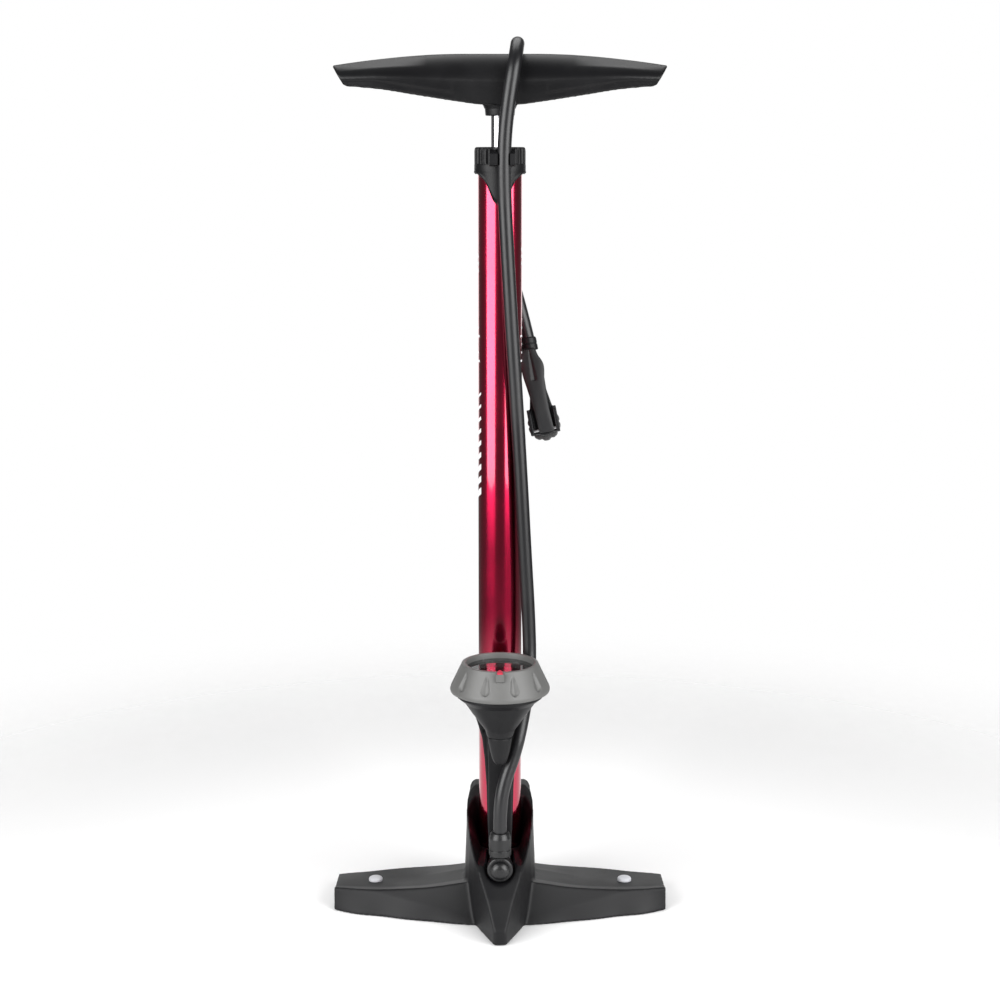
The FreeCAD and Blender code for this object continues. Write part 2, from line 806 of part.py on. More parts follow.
# ---------------------------------------------------------------- gauge bracket
def bracket_slots():
    """Centre lines of the slanted grooves on the bracket's cheeks, as pairs of (y, z)."""
    return [
        ((-27.0, 168.5), (-35.5, 153.5)),
        ((-22.5, 164.0), (-32.5, 146.5)),
        ((-20.0, 156.0), (-31.5, 136.5)),
        ((-21.0, 142.5), (-30.5, 126.5)),
        ((-25.0, 124.5), (-29.5, 117.0)),
        ((-26.5, 110.5), (-28.5, 107.0)),
    ]


def gauge_bracket():
    """Ring round the barrel, web and hollow post that carry the gauge over the foot."""
    outline = [
        (-15.0, ring_top),
        (-15.0, ring_bottom),
        (-16.5, 139.0),
        (-22.0, 122.0),
        (-24.5, 96.0),
        (-25.0, manifold_top),
        (-38.5, manifold_top),
        (-39.5, 150.0),
        (-42.0, 176.0),
        (-36.0, 178.0),
        (-26.0, 172.0),
    ]
    post = side(outline, -bracket_half_width, bracket_half_width)
    half_web = [(ring_r - 0.5, ring_top - 10.0), (17.0, 150.0), (13.3, 137.0), (11.4, 121.0), (8.0, 98.0)]
    web_outline = half_web + [(-x, z) for x, z in reversed(half_web)]
    web = polygon_face([V(x, -ring_r + 1.0, z) for x, z in web_outline]).extrude(V(0, 8.0, 0))
    post = post.fuse(web)
    for (y0, z0), (y1, z1) in bracket_slots():
        angle = math.degrees(math.atan2(z1 - z0, y1 - y0))
        length = math.hypot(y1 - y0, z1 - z0)
        for x0, x1 in ((-bracket_half_width - 1, -6.6), (6.6, bracket_half_width + 1)):
            slot = block(x0, x1, 0, length, -1.2, 1.2)
            slot.rotate(V(0, 0, 0), X_AXIS, angle)
            slot.translate(V(0, y0, z0))
            post = post.cut(slot)
    body = post.fuse(cylinder(ring_r, ring_bottom, ring_top))
    body = body.cut(cylinder(seat_r, ring_bottom - 60, ring_top + 10))
    body = body.cut(along_y(clamp_screw_r, barrel_r, ring_r + 1, clamp_screw_z))
    core = gauge_tube_r + sliding
    body = body.cut(along_y(core, gauge_y, gauge_tube_y, gauge_tube_top))
    body = body.cut(block(-core - 1.5, core + 1.5, gauge_tube_y - 9, gauge_tube_y + 3, 0, 162.0))
    shell = turned([(0, gauge_bottom)] + funnel_profile() + [(0, rim_top)], 0, gauge_y)
    body = body.cut(shell)
    body = body.cut(cylinder(tail_r + 1.5, gauge_bottom - 30, gauge_bottom, 0, gauge_y))
    return one(body)


def bracket_screw():
    """Clamp screw through the ring behind the barrel."""
    head = along_y(2.6, ring_r, ring_r + 1.8, clamp_screw_z)
    return one(head.fuse(along_y(clamp_screw_r, seat_r + sliding, ring_r + 0.5, clamp_screw_z)))


# ---------------------------------------------------------------- handle, rod and piston
def handle_section(x, width, top, bottom, inset=0.0):
    """Lens-shaped closed wire across the handle at x, bulging up more than down."""
    sweep = -handle_sweep * min(1.0, abs(x) / 60.0)
    half = width / 2 - inset
    belly = bottom + 0.42 * (top - bottom)
    rear = V(x, sweep + half, belly)
    front = V(x, sweep - half, belly)
    over = Part.Arc(front, V(x, sweep, top - inset), rear).toShape()
    under = Part.Arc(rear, V(x, sweep, bottom + inset), front).toShape()
    return Part.Wire([over, under])


def handle_bar(inset, reach):
    """Loft of the whole wing handle, or of its core when inset is more than 0."""
    end_top = handle_top - handle_end_drop
    stations = [
        (reach, handle_end_width, end_top, end_top - 14.5),
        (0.72 * handle_half_length, 36.0, handle_top - 4.0, hub_bottom + 18.5),
        (0.42 * handle_half_length, handle_width + 1.0, handle_top - 1.2, hub_bottom + 13.5),
        (0.16 * handle_half_length, handle_width, handle_top - 0.2, hub_bottom + 9.0),
    ]
    middle = [(0.0, handle_width, handle_top, hub_bottom + 7.5)]
    full = stations + middle + [(-x, *rest) for x, *rest in reversed(stations)]
    return Part.makeLoft([handle_section(*s, inset) for s in full], True, False)


def handle_hub(bottom):
    """Socket under the handle that widens into the bar."""
    hub_top = hub_bottom + 14.0
    return turned([(0, bottom), (hub_r, bottom), (hub_r, hub_bottom), (hub_r + 3.0, hub_top), (0, hub_top)])


def handle_core():
    """Stiff inner bar; its hub takes the rod and its ends show beyond the grip."""
    bar = handle_bar(core_inset, handle_half_length)
    body = bar.fuse(handle_hub(hub_bottom - 0.01))
    body = body.cut(cylinder(rod_r, hub_bottom - 1, rod_top))
    return one(body.cut(along_y(pin_r, -20, 20, pin_z)))


def handle_grip():
    """Outer shell over the core."""
    grip = handle_bar(0.0, handle_half_length - 2.0)
    grip = grip.cut(handle_bar(core_inset, handle_half_length + 2.0))
    grip = grip.cut(handle_hub(hub_bottom - 10.0))
    return max(one(grip).Solids, key=lambda solid: solid.Volume)


def handle_pin():
    """Roll pin through the hub and the rod."""
    return along_y(pin_r, -9.5, 9.5, pin_z)


def piston_rod():
    rod = cylinder(rod_r, piston_bottom + 4.0, rod_top)
    rod = rod.cut(cylinder(rod_r - rod_wall, piston_bottom + 14.0, rod_top + 1))
    rod = rod.cut(along_y(pin_r, -20, 20, pin_z))
    return rod.cut(cylinder(2.5, piston_bottom, piston_bottom + 15.0))


def piston():
    body = cylinder(barrel_bore - 0.3, piston_bottom, piston_top)
    low = piston_bottom + seal_low
    groove = ring(barrel_bore + 1, seal_inner, low, low + seal_height)
    body = body.cut(groove)
    body = body.cut(cylinder(rod_r, piston_bottom + 4.0, piston_top + 1))
    return one(body.cut(cylinder(2.5, piston_bottom - 1, piston_top)))


def piston_seal():
    low = piston_bottom + seal_low
    return ring(barrel_bore - running, seal_inner, low, low + seal_height)


def piston_bolt():
    """Bolt from below that clamps the piston to the rod's end."""
    shank = cylinder(2.5, piston_bottom, piston_bottom + 13.0)
    return one(shank.fuse(cylinder(4.0, piston_bottom - 2.5, piston_bottom)))


# ---------------------------------------------------------------- hose
def hook_points():
    """Centres of the hose in the front and rear hooks, at the cap."""
    return V(2.5, -24.6, cap_top - 8.0), V(3.0, 24.9, cap_top - 8.0)


def hose_route():
    """Corners of the hose's route, from the ferrule over the handle to the chuck."""
    front, rear = hook_points()
    return [
        V(0, -54.0, ferrule_top),
        V(0, -54.0, 94.0),
        V(2.8, -51.4, 112.0),
        V(9.6, -46.6, 130.0),
        V(14.0, -44.6, 146.0),
        V(18.8, -30.0, 167.0),
        V(22.4, -15.6, 190.0),
        V(21.2, -14.2, 230.0),
        V(18.4, -15.6, 276.0),
        V(15.4, -17.2, 332.0),
        V(12.0, -18.9, 388.0),
        V(8.2, -20.9, 444.0),
        V(5.0, -22.6, 500.0),
        V(2.6, -24.4, 548.0),
        V(3.2, -25.4, 580.0),
        V(6.4, -26.5, 606.0),
        V(10.4, -25.2, 630.0),
        V(12.4, -9.0, 643.0),
        V(12.4, 9.0, 643.0),
        V(10.6, 24.4, 630.0),
        V(6.8, 26.2, 606.0),
        V(3.6, 25.7, 580.0),
        V(2.8, 24.8, 548.0),
        V(4.4, 24.4, 508.0),
        V(8.6, 24.6, 476.0),
        V(15.6, 23.6, 452.0),
        chuck_top,
    ]


def hose_path(route):
    """Straight runs joined by tangent arcs, each 0.45 of the shorter run deep."""
    edges = []
    radii = []
    here = route[0]
    for before, corner, after in zip(route, route[1:], route[2:]):
        back = before - corner
        ahead = after - corner
        reach = 0.45 * min(back.Length, ahead.Length)
        back.normalize()
        ahead.normalize()
        turn = math.pi - back.getAngle(ahead)
        radius = reach / math.tan(turn / 2)
        start = corner + back * reach
        end = corner + ahead * reach
        inward = back + ahead
        inward.normalize()
        middle = corner + inward * (radius / math.cos(turn / 2) - radius)
        edges.append(Part.LineSegment(here, start).toShape())
        edges.append(Part.Arc(start, middle, end).toShape())
        radii.append(radius)
        here = end
    edges.append(Part.LineSegment(here, route[-1]).toShape())
    return Part.Wire(edges), radii


def hose():
    route = hose_route()
    path, radii = hose_path(route)
    circle = Part.Wire(Part.makeCircle(hose_r, route[0], route[1] - route[0]))
    tube = path.makePipeShell([circle], True, False)
    expected = math.pi * hose_r**2 * path.Length
    print("hose arc radii:", " ".join(f"{r:.0f}" for r in radii))
    print(f"hose length {path.Length:.1f} mm, volume over section x length {tube.Volume / expected:.4f}")
    return tube


# ---------------------------------------------------------------- chuck
# Its own frame: the hose enters at the origin, the body hangs along -Z, and the valve goes into
# the head along +Y.
def chuck_frame():
    """Placement that hangs the chuck from the hose's end at its two tilts."""
    tilt = FreeCAD.Rotation(X_AXIS, -chuck_back_tilt)
    lean = FreeCAD.Rotation(Y_AXIS, -chuck_side_tilt)
    return FreeCAD.Placement(chuck_top, lean.multiply(tilt))


def chuck_collar():
    """Sleeve that grips the hose's end."""
    profile = [
        (3.0, 0),
        (5.6, 0),
        (6.2, -1.2),
        (6.2, -collar_length + 1),
        (5.6, -collar_length),
        (3.0, -collar_length),
    ]
    return turned(profile)


def chuck_body():
    """Hollow grip that ends in the round head."""
    z = -chuck_head_drop
    sections = []
    for depth, half_x, half_y in ((0.0, 5.6, 5.6), (22.0, 8.0, 6.5), (48.0, 7.0, 6.0)):
        level = -collar_length - depth
        signs = ((-1, -1), (1, -1), (1, 1), (-1, 1))
        corners = [V(sx * half_x, sy * half_y, level) for sx, sy in signs]
        sections.append(Part.makePolygon(corners + [corners[0]]))
    grip = Part.makeLoft(sections, True, True)
    head = along_y(head_r, head_back, head_front, z)
    stem = cylinder(3.0, -collar_length, -0.5)
    body = grip.fuse(head).fuse(stem)
    for x in (-lug_inner - lug_thickness, lug_inner):
        body = body.fuse(block(x, x + lug_thickness, lever_pivot_y - 2.0, 0.0, z - 8.5, z + 10.0))
    body = body.cut(cylinder(1.5, z, 1))
    body = body.cut(along_y(plunger_r + running, plunger_back - 2.0, head_front + 1, z))
    return one(body.cut(along_x(lever_pin_r, -20, 20, lever_pivot_y, lever_pivot_z)))


def chuck_plunger():
    """Pushed by the lever's cam, squeezes the rubber insert round the valve."""
    z = -chuck_head_drop
    body = along_y(plunger_r, plunger_back, head_front - 1.0, z)
    return body.cut(along_y(1.2, plunger_back - 1, head_front, z))


def chuck_nut():
    """Scalloped nut on the head that holds the rubber insert."""
    z = -chuck_head_drop
    nut = along_y(nut_r, head_front, nut_end, z)
    for n in range(10):
        angle = 2 * math.pi * n / 10
        x = (nut_r + 2.0) * math.cos(angle)
        nut = nut.cut(along_y(3.2, head_front - 1, nut_end - 1.5, z + (nut_r + 2.0) * math.sin(angle), x))
    nut = nut.fuse(along_y(nose_r, nut_end - 1, nose_end, z))
    return one(nut.cut(along_y(insert_r, head_front - 1, nose_end + 1, z)))


def chuck_insert():
    """Red rubber insert whose bore seals on the tyre's valve."""
    z = -chuck_head_drop
    body = along_y(insert_r, head_front, insert_end, z)
    return body.cut(along_y(valve_r, head_front - 1, insert_end + 1, z))


def lever_pin():
    reach = lug_inner + lug_thickness
    return along_x(lever_pin_r, -reach, reach, lever_pivot_y, lever_pivot_z)


def chuck_lever():
    """Thumb plate along the front of the chuck that turns on a pin between the head's lugs."""
    front = lever_back - lever_thickness
    shoulder = -chuck_head_drop + 12.0
    half_outline = [
        (5.0, -collar_length - 3.0),
        (9.0, -31.0),
        (lever_half_width, shoulder),
        (lever_half_width, lever_pivot_z),
    ]
    face = polygon_face([V(x, front, level) for x, level in mirrored(half_outline)])
    plate = face.extrude(V(0, lever_thickness, 0))
    knuckle = along_x(
        lever_thickness / 2, -lever_half_width, lever_half_width, lever_pivot_y, lever_pivot_z
    )
    vee = [V(-2.2, front, -19.0), V(2.2, front, -19.0), V(0.0, front, -40.0)]
    plate = plate.fuse(knuckle).cut(polygon_face(vee).extrude(V(0, 1.2, 0)))
    return one(plate.cut(along_x(lever_pin_r + running, -20, 20, lever_pivot_y, lever_pivot_z)))


# ---------------------------------------------------------------- all pieces
PUMP_PIECES = [
    base_foot,
    foot_pads,
    wing_studs,
    base_screws,
    barrel,
    bottom_plug,
    plug_seal,
    check_valve,
    check_valve_spring,
    outlet_tube,
    manifold,
    gauge_air_tube,
    swivel_bolt,
    swivel_elbow,
    swivel_seals,
    swivel_washer,
    hose_ferrule,
    barrel_cap,
    rod_bushing,
    rod_wiper,
    top_bumper,
    gauge_housing,
    gauge_socket,
    gauge_tail,
    bourdon_tube,
    movement_plate,
    sector_pin,
    sector_gear,
    needle_pinion,
    needle,
    dial,
    lens_gasket,
    gauge_lens,
    bezel_ring,
    bezel_marker,
    gauge_bracket,
    bracket_screw,
    handle_core,
    handle_grip,
    handle_pin,
    piston_rod,
    piston,
    piston_seal,
    piston_bolt,
    hose,
]
CHUCK_PIECES = [
    chuck_collar,
    chuck_body,
    chuck_plunger,
    chuck_nut,
    chuck_insert,
    lever_pin,
    chuck_lever,
]

os.makedirs("parts", exist_ok=True)
for piece in PUMP_PIECES:
    write(piece.__name__, piece())
for piece in CHUCK_PIECES:
    write(piece.__name__, piece(), chuck_frame())
print(f"stroke {stroke:.1f} mm, barrel axis at Y = {axis_y:.1f} mm")
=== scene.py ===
# %% [markdown]
# # The looks of a floor bike pump
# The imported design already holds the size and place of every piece. This lesson dresses it: the black
# moulded foot and handle, the red anodised barrel, the grey gauge, the rubber hose and its chuck.
# Lengths are in millimetres unless a name says otherwise. X and Y are measured from the barrel's
# axis and Z from the floor, because almost every piece of a pump is laid out from its barrel.

# %% The fixed frame
import json
import math

import bmesh
import bpy
import numpy as np
from mathutils import Matrix, Vector


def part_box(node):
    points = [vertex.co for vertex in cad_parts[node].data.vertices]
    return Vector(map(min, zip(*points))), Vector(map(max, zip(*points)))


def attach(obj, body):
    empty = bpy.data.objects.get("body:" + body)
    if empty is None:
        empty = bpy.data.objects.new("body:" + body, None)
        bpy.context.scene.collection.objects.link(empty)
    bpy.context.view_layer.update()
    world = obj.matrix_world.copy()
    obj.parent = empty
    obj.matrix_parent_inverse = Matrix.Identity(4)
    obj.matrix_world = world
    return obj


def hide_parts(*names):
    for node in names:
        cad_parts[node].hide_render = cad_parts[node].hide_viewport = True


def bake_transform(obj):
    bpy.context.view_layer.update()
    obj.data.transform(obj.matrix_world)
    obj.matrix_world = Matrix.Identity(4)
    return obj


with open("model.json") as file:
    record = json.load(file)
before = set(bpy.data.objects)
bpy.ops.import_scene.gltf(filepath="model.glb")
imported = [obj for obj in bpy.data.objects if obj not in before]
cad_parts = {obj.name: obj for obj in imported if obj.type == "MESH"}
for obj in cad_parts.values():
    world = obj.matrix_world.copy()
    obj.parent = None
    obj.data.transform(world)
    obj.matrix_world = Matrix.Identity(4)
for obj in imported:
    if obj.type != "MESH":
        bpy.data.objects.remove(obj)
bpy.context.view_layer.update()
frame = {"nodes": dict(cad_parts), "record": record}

mm = 0.001
barrel_low, barrel_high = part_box("barrel")
axis = np.array([0.0, (barrel_low.y + barrel_high.y) / 2 / mm, 0.0])


def reach(node):
    """Lowest and highest corners of a node of the design, in millimetres from the barrel's axis."""
    low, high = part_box(node)
    return np.array(low) / mm - axis, np.array(high) / mm - axis


barrel_r = (barrel_high.x - barrel_low.x) / 2 / mm
print(f"barrel radius {barrel_r:.1f}, axis at y {axis[1]:.1f}")

# %% [markdown]
# The camera stands about 1.3 m in front of the pump, a little below its handle, and looks down by ten
# degrees through a long lens, so that upright lines stay nearly parallel. The lens is shifted by less
# than a hundredth of the frame, which keeps the handle and the foot equally far from the edges.

# %% Camera
camera = bpy.data.objects.new("camera", bpy.data.cameras.new("camera"))
bpy.context.scene.collection.objects.link(camera)
bpy.context.scene.camera = camera
camera.data.lens = 65.7
camera.data.sensor_width = 36.0
camera.data.shift_y = -0.0089
camera.location = (0.0, -1.329 + axis[1] * mm, 0.563)
camera.rotation_euler = (math.radians(79.67), 0.0, 0.0)
print("lens", camera.data.lens, "mm")

# %% [markdown]
# ## The hose
# A rubber hose can't be stretched or bent sharply, so its line comes first and its skin second. It
# leaves the swivel fitting upwards, passes the gauge, climbs beside the barrel through the front
# hook of the cap, goes over the handle, comes down through the rear hook and ends in the chuck. A
# smooth spline through listed corners gives that line. The skin is a circle carried along it.

# %% The hose's route, in metres from the barrel's axis
hose_corners = [
    (0.0, -0.054, 0.0761), (0.0, -0.054, 0.094), (0.0028, -0.0514, 0.112), (0.0096, -0.0466, 0.130),
    (0.014, -0.0446, 0.146), (0.0188, -0.030, 0.167), (0.0224, -0.0156, 0.190),
    (0.0212, -0.0142, 0.230), (0.0184, -0.0156, 0.276), (0.0154, -0.0172, 0.332),
    (0.012, -0.0189, 0.388), (0.0082, -0.0209, 0.444), (0.005, -0.0226, 0.500),
    (0.0026, -0.0244, 0.548), (0.0032, -0.0254, 0.580), (0.0064, -0.0265, 0.606),
    (0.0104, -0.0252, 0.630), (0.0124, -0.009, 0.643), (0.0124, 0.009, 0.643),
    (0.0106, 0.0244, 0.630), (0.0068, 0.0262, 0.606), (0.0036, 0.0257, 0.580),
    (0.0028, 0.0248, 0.548), (0.0044, 0.0244, 0.508), (0.0086, 0.0246, 0.476),
    (0.0156, 0.0236, 0.452), (0.0205, 0.021, 0.432),
]


def smooth_line(name, corners):
    """Points along a quadratic NURBS spline that has these corners as its control points."""
    curve = bpy.data.curves.new(name, "CURVE")
    curve.dimensions = "3D"
    spline = curve.splines.new("NURBS")
    spline.points.add(len(corners) - 1)
    spline.points.foreach_set("co", np.column_stack([corners, np.ones(len(corners))]).ravel())
    spline.order_u = 3
    spline.use_endpoint_u = True
    curve.resolution_u = 10
    line = bpy.data.objects.new(name, curve)
    bpy.context.scene.collection.objects.link(line)
    mesh = bpy.data.meshes.new_from_object(line)
    points = np.zeros(len(mesh.vertices) * 3)
    mesh.vertices.foreach_get("co", points)
    bpy.data.objects.remove(line)
    bpy.data.meshes.remove(mesh)
    return points.reshape(-1, 3)


hose_line = smooth_line("hose_line", hose_corners) / mm

# %% [markdown]
# ## How the surfaces are made
# Every new piece is a grid of points worked out as whole arrays: rows of rings, where a ring is a
# closed outline. Neighbouring points of the grid make the quads. A turned piece is one outline
# carried round an axis, a moulded bar is an outline that changes along its length, and a hose is a
# circle carried along a line. Corners are eased by small curves first, because no moulded or turned
# edge is perfectly sharp, and that small radius is what catches the light.

# %% Grids, outlines and shells
def eased(x, stations, values):
    """Cubic curve through a few values; at each one its slope is the mean slope of its neighbours."""
    stations, values = np.asarray(stations, float), np.asarray(values, float)
    slopes = np.gradient(values, stations)
    i = np.clip(np.searchsorted(stations, x) - 1, 0, len(stations) - 2)
    step = stations[i + 1] - stations[i]
    t = np.clip((x - stations[i]) / step, 0, 1)
    ends = (2 * t**3 - 3 * t**2 + 1) * values[i] + (3 * t**2 - 2 * t**3) * values[i + 1]
    return ends + step * ((t**3 - 2 * t**2 + t) * slopes[i] + (t**3 - t**2) * slopes[i + 1])


def softened(corners, radius, closed=True, steps=5):
    """Outline whose corners are replaced by small quadratic curves that start radius / tan(half angle)
    away from the corner, or 0.45 of the shorter side where that is less."""
    corners = np.asarray(corners, float)
    back = np.roll(corners, 1, axis=0) - corners
    ahead = np.roll(corners, -1, axis=0) - corners
    a = np.linalg.norm(back, axis=1, keepdims=True)
    b = np.linalg.norm(ahead, axis=1, keepdims=True)
    angle = np.arccos(np.clip((back * ahead).sum(1, keepdims=True) / (a * b), -1, 1))
    start = np.minimum(radius / np.tan(angle / 2).clip(1e-3), 0.45 * np.minimum(a, b))
    if not closed:
        start[[0, -1]] = 0
    t = np.linspace(0, 1, steps + 1)[None, :, None]
    first, last = corners + back / a * start, corners + ahead / b * start
    curve = (1 - t) ** 2 * first[:, None] + 2 * t * (1 - t) * corners[:, None] + t**2 * last[:, None]
    return curve.reshape(-1, corners.shape[1])


def grid_faces(rows, columns, wrap_rows, wrap_columns):
    """Quads between neighbouring points of a grid; a wrapped side joins its last line to its first."""
    r = np.arange(rows if wrap_rows else rows - 1)
    c = np.arange(columns if wrap_columns else columns - 1)
    r, c = np.meshgrid(r, c, indexing="ij")
    r1, c1 = (r + 1) % rows, (c + 1) % columns
    quads = np.stack([r * columns + c, r * columns + c1, r1 * columns + c1, r1 * columns + c], -1)
    return quads.reshape(-1, 4).tolist()


def bar(rings):
    """Shell of a solid bar: rings (n, m, 3) joined along its length, each end closed by one face."""
    n, m = rings.shape[:2]
    ends = [list(range(m)), list(range((n - 1) * m, n * m))]
    return rings.reshape(-1, 3), grid_faces(n, m, False, True) + ends


def turned(profile, sides=128, closed=True, swell=None):
    """Shell of a turned piece: an outline of (radius, height) carried round Z. swell(angle, radius,
    height) may change the radius, for flutes and dimples. An open outline starts and ends on the axis."""
    profile = np.asarray(profile, float)
    angle = np.linspace(0, 2 * math.pi, sides, endpoint=False)[:, None]
    radius = np.broadcast_to(profile[:, 0], (sides, len(profile)))
    height = np.broadcast_to(profile[:, 1], (sides, len(profile)))
    if swell is not None:
        radius = swell(angle, radius, height)
    points = np.stack([radius * np.cos(angle), radius * np.sin(angle), height], -1)
    return points.reshape(-1, 3), grid_faces(sides, len(profile), True, closed)


def prism(outline, low, high, along):
    """Shell of a flat outline (n, 2) pushed from low to high along axis 0 (X), 1 (Y) or 2 (Z)."""
    outline = np.asarray(outline, float)
    rings = np.stack([np.insert(outline, along, level, axis=1) for level in (low, high)])
    return bar(rings)


def box(low, high):
    """Shell of a block between two corners."""
    (x0, y0, z0), (x1, y1, z1) = low, high
    return prism([(x0, y0), (x1, y0), (x1, y1), (x0, y1)], z0, z1, 2)


def hose_skin(line, radius, sides=24):
    """Shell of a circle carried along a line. Its frame is the line's direction crossed with X, which
    is never parallel to it."""
    ahead = np.gradient(line, axis=0)
    ahead /= np.linalg.norm(ahead, axis=1, keepdims=True)
    across = np.array([1.0, 0, 0]) - ahead[:, :1] * ahead
    across /= np.linalg.norm(across, axis=1, keepdims=True)
    up = np.cross(ahead, across)
    angle = np.linspace(0, 2 * math.pi, sides, endpoint=False)[None, :, None]
    rings = line[:, None] + radius * (np.cos(angle) * across[:, None] + np.sin(angle) * up[:, None])
    return bar(rings)


def moved(shell, matrix=Matrix.Identity(4), by=(0, 0, 0)):
    """The shell turned by a matrix and then shifted."""
    turn = np.array(matrix)
    return shell[0] @ turn[:3, :3].T + turn[:3, 3] + np.asarray(by, float), shell[1]


def piece(name, *shells, crease=32.0):
    """One mesh object from shells in millimetres from the barrel's axis. Doubled points at seams and
    poles are merged, faces are turned outwards, and edges bent more than the crease stay sharp."""
    offsets = np.cumsum([0] + [len(points) for points, _ in shells])
    points = np.concatenate([points for points, _ in shells])
    faces = [[i + int(k) for i in face] for (_, quads), k in zip(shells, offsets) for face in quads]
    mesh = bpy.data.meshes.new(name)
    mesh.from_pydata(((points + axis) * mm).tolist(), [], faces)
    work = bmesh.new()
    work.from_mesh(mesh)
    bmesh.ops.remove_doubles(work, verts=work.verts, dist=2e-6)
    bmesh.ops.dissolve_degenerate(work, edges=work.edges, dist=1e-6)
    bmesh.ops.recalc_face_normals(work, faces=work.faces)
    work.to_mesh(mesh)
    work.free()
    shade(mesh, crease)
    made = bpy.data.objects.new(name, mesh)
    bpy.context.scene.collection.objects.link(made)
    return made


def shade(mesh, crease):
    """Smooth shading that stops at edges bent more than the crease angle."""
    mesh.shade_smooth()
    mesh.set_sharp_from_angle(angle=math.radians(crease))


def settle(made, crease=None):
    """Applies the modifiers of a piece, so that its mesh is final."""
    graph = bpy.context.evaluated_depsgraph_get()
    mesh = bpy.data.meshes.new_from_object(made.evaluated_get(graph))
    old, made.data = made.data, mesh
    made.modifiers.clear()
    bpy.data.meshes.remove(old)
    mesh.name = made.name
    if crease is not None:
        shade(mesh, crease)
    return made


def combine(made, others, operation):
    """Joins other pieces to this one ("UNION") or cuts them out of it ("DIFFERENCE")."""
    for other in others:
        step = made.modifiers.new(operation.lower(), "BOOLEAN")
        step.operation = operation
        step.solver = "EXACT"
        step.object = other
        settle(made)
        bpy.data.objects.remove(other)
    return made


def moulded(made, grain_size, passes):
    """Rebuilds the skin on an even grid of small faces and smooths it, which rounds every edge a
    little, as an injection mould does."""
    remesh = made.modifiers.new("even_skin", "REMESH")
    remesh.mode = "VOXEL"
    remesh.voxel_size = grain_size * mm
    settle(made)
    relax = made.modifiers.new("relax", "SMOOTH")
    relax.factor = 0.5
    relax.iterations = passes
    settle(made, 60)
    print(f"{made.name}: {len(made.data.polygons)} faces")
    return made


# %% [markdown]
# ## Finishes
# Three effects turn up on more than one material, so each is a node group. Moulded plastic has a
# fine spark-eroded grain. Drawn and polished metal has faint lines along the draw. Everything that is
# handled picks up soft smudges that change the gloss. The groups only give heights and masks; every
# material mixes them with its own colours and roughness.

# %% Shared effects
def effect(name, numbers, outputs):
    """New shader node group with float inputs {name: default} and float outputs."""
    tree = bpy.data.node_groups.new(name, "ShaderNodeTree")
    new_socket, number = tree.interface.new_socket, "NodeSocketFloat"
    for socket, value in numbers.items():
        new_socket(name=socket, in_out="INPUT", socket_type=number).default_value = value
    for socket in outputs:
        new_socket(name=socket, in_out="OUTPUT", socket_type=number)
    nodes = tree.nodes
    return tree, nodes.new("NodeGroupInput"), nodes.new("NodeGroupOutput"), nodes.new("ShaderNodeTexCoord")


def noise(tree, vector, scale, detail, stretch=None):
    """Noise texture on a vector, its scale read from a socket; stretch scales the vector per axis."""
    texture = tree.nodes.new("ShaderNodeTexNoise")
    texture.inputs["Detail"].default_value = detail
    if stretch is not None:
        mapping = tree.nodes.new("ShaderNodeMapping")
        mapping.inputs["Scale"].default_value = stretch
        tree.links.new(vector, mapping.inputs["Vector"])
        vector = mapping.outputs["Vector"]
    tree.links.new(vector, texture.inputs["Vector"])
    tree.links.new(scale, texture.inputs["Scale"])
    return texture.outputs["Fac"]


def mould_grain_group():
    """Height of a spark-eroded surface: fine noise, sharpened by a second one at twice the scale."""
    tree, given, result, place = effect("mould_grain", {"Scale": 1500.0}, ["Height"])
    double = tree.nodes.new("ShaderNodeMath")
    double.operation = "MULTIPLY"
    double.inputs[1].default_value = 2.1
    tree.links.new(given.outputs["Scale"], double.inputs[0])
    coarse = noise(tree, place.outputs["Object"], given.outputs["Scale"], 3.0)
    fine = noise(tree, place.outputs["Object"], double.outputs[0], 2.0)
    mix = tree.nodes.new("ShaderNodeMath")
    mix.operation = "MULTIPLY"
    tree.links.new(coarse, mix.inputs[0])
    tree.links.new(fine, mix.inputs[1])
    tree.links.new(mix.outputs[0], result.inputs["Height"])
    return tree


def draw_lines_group():
    """Height of the faint lines that drawing and polishing leave along Z."""
    tree, given, result, place = effect("draw_lines", {"Scale": 900.0}, ["Height"])
    lines = noise(tree, place.outputs["Object"], given.outputs["Scale"], 4.0, (1.0, 1.0, 0.01))
    tree.links.new(lines, result.inputs["Height"])
    return tree


smudge_scale = 22.0  # smudges per metre, roughly


def smudges_group():
    """Mask from 0 to 1 of soft smudges and dust, a few centimetres across."""
    tree, given, result, place = effect("smudges", {"Scale": smudge_scale}, ["Mask"])
    spots = noise(tree, place.outputs["Object"], given.outputs["Scale"], 6.0)
    ramp = tree.nodes.new("ShaderNodeMapRange")
    ramp.interpolation_type = "SMOOTHSTEP"
    ramp.inputs["From Min"].default_value = 0.38
    ramp.inputs["From Max"].default_value = 0.68
    tree.links.new(spots, ramp.inputs["Value"])
    tree.links.new(ramp.outputs["Result"], result.inputs["Mask"])
    return tree


effects = {"grain": mould_grain_group(), "lines": draw_lines_group(), "smudges": smudges_group()}
print("shared effects:", ", ".join(effects))


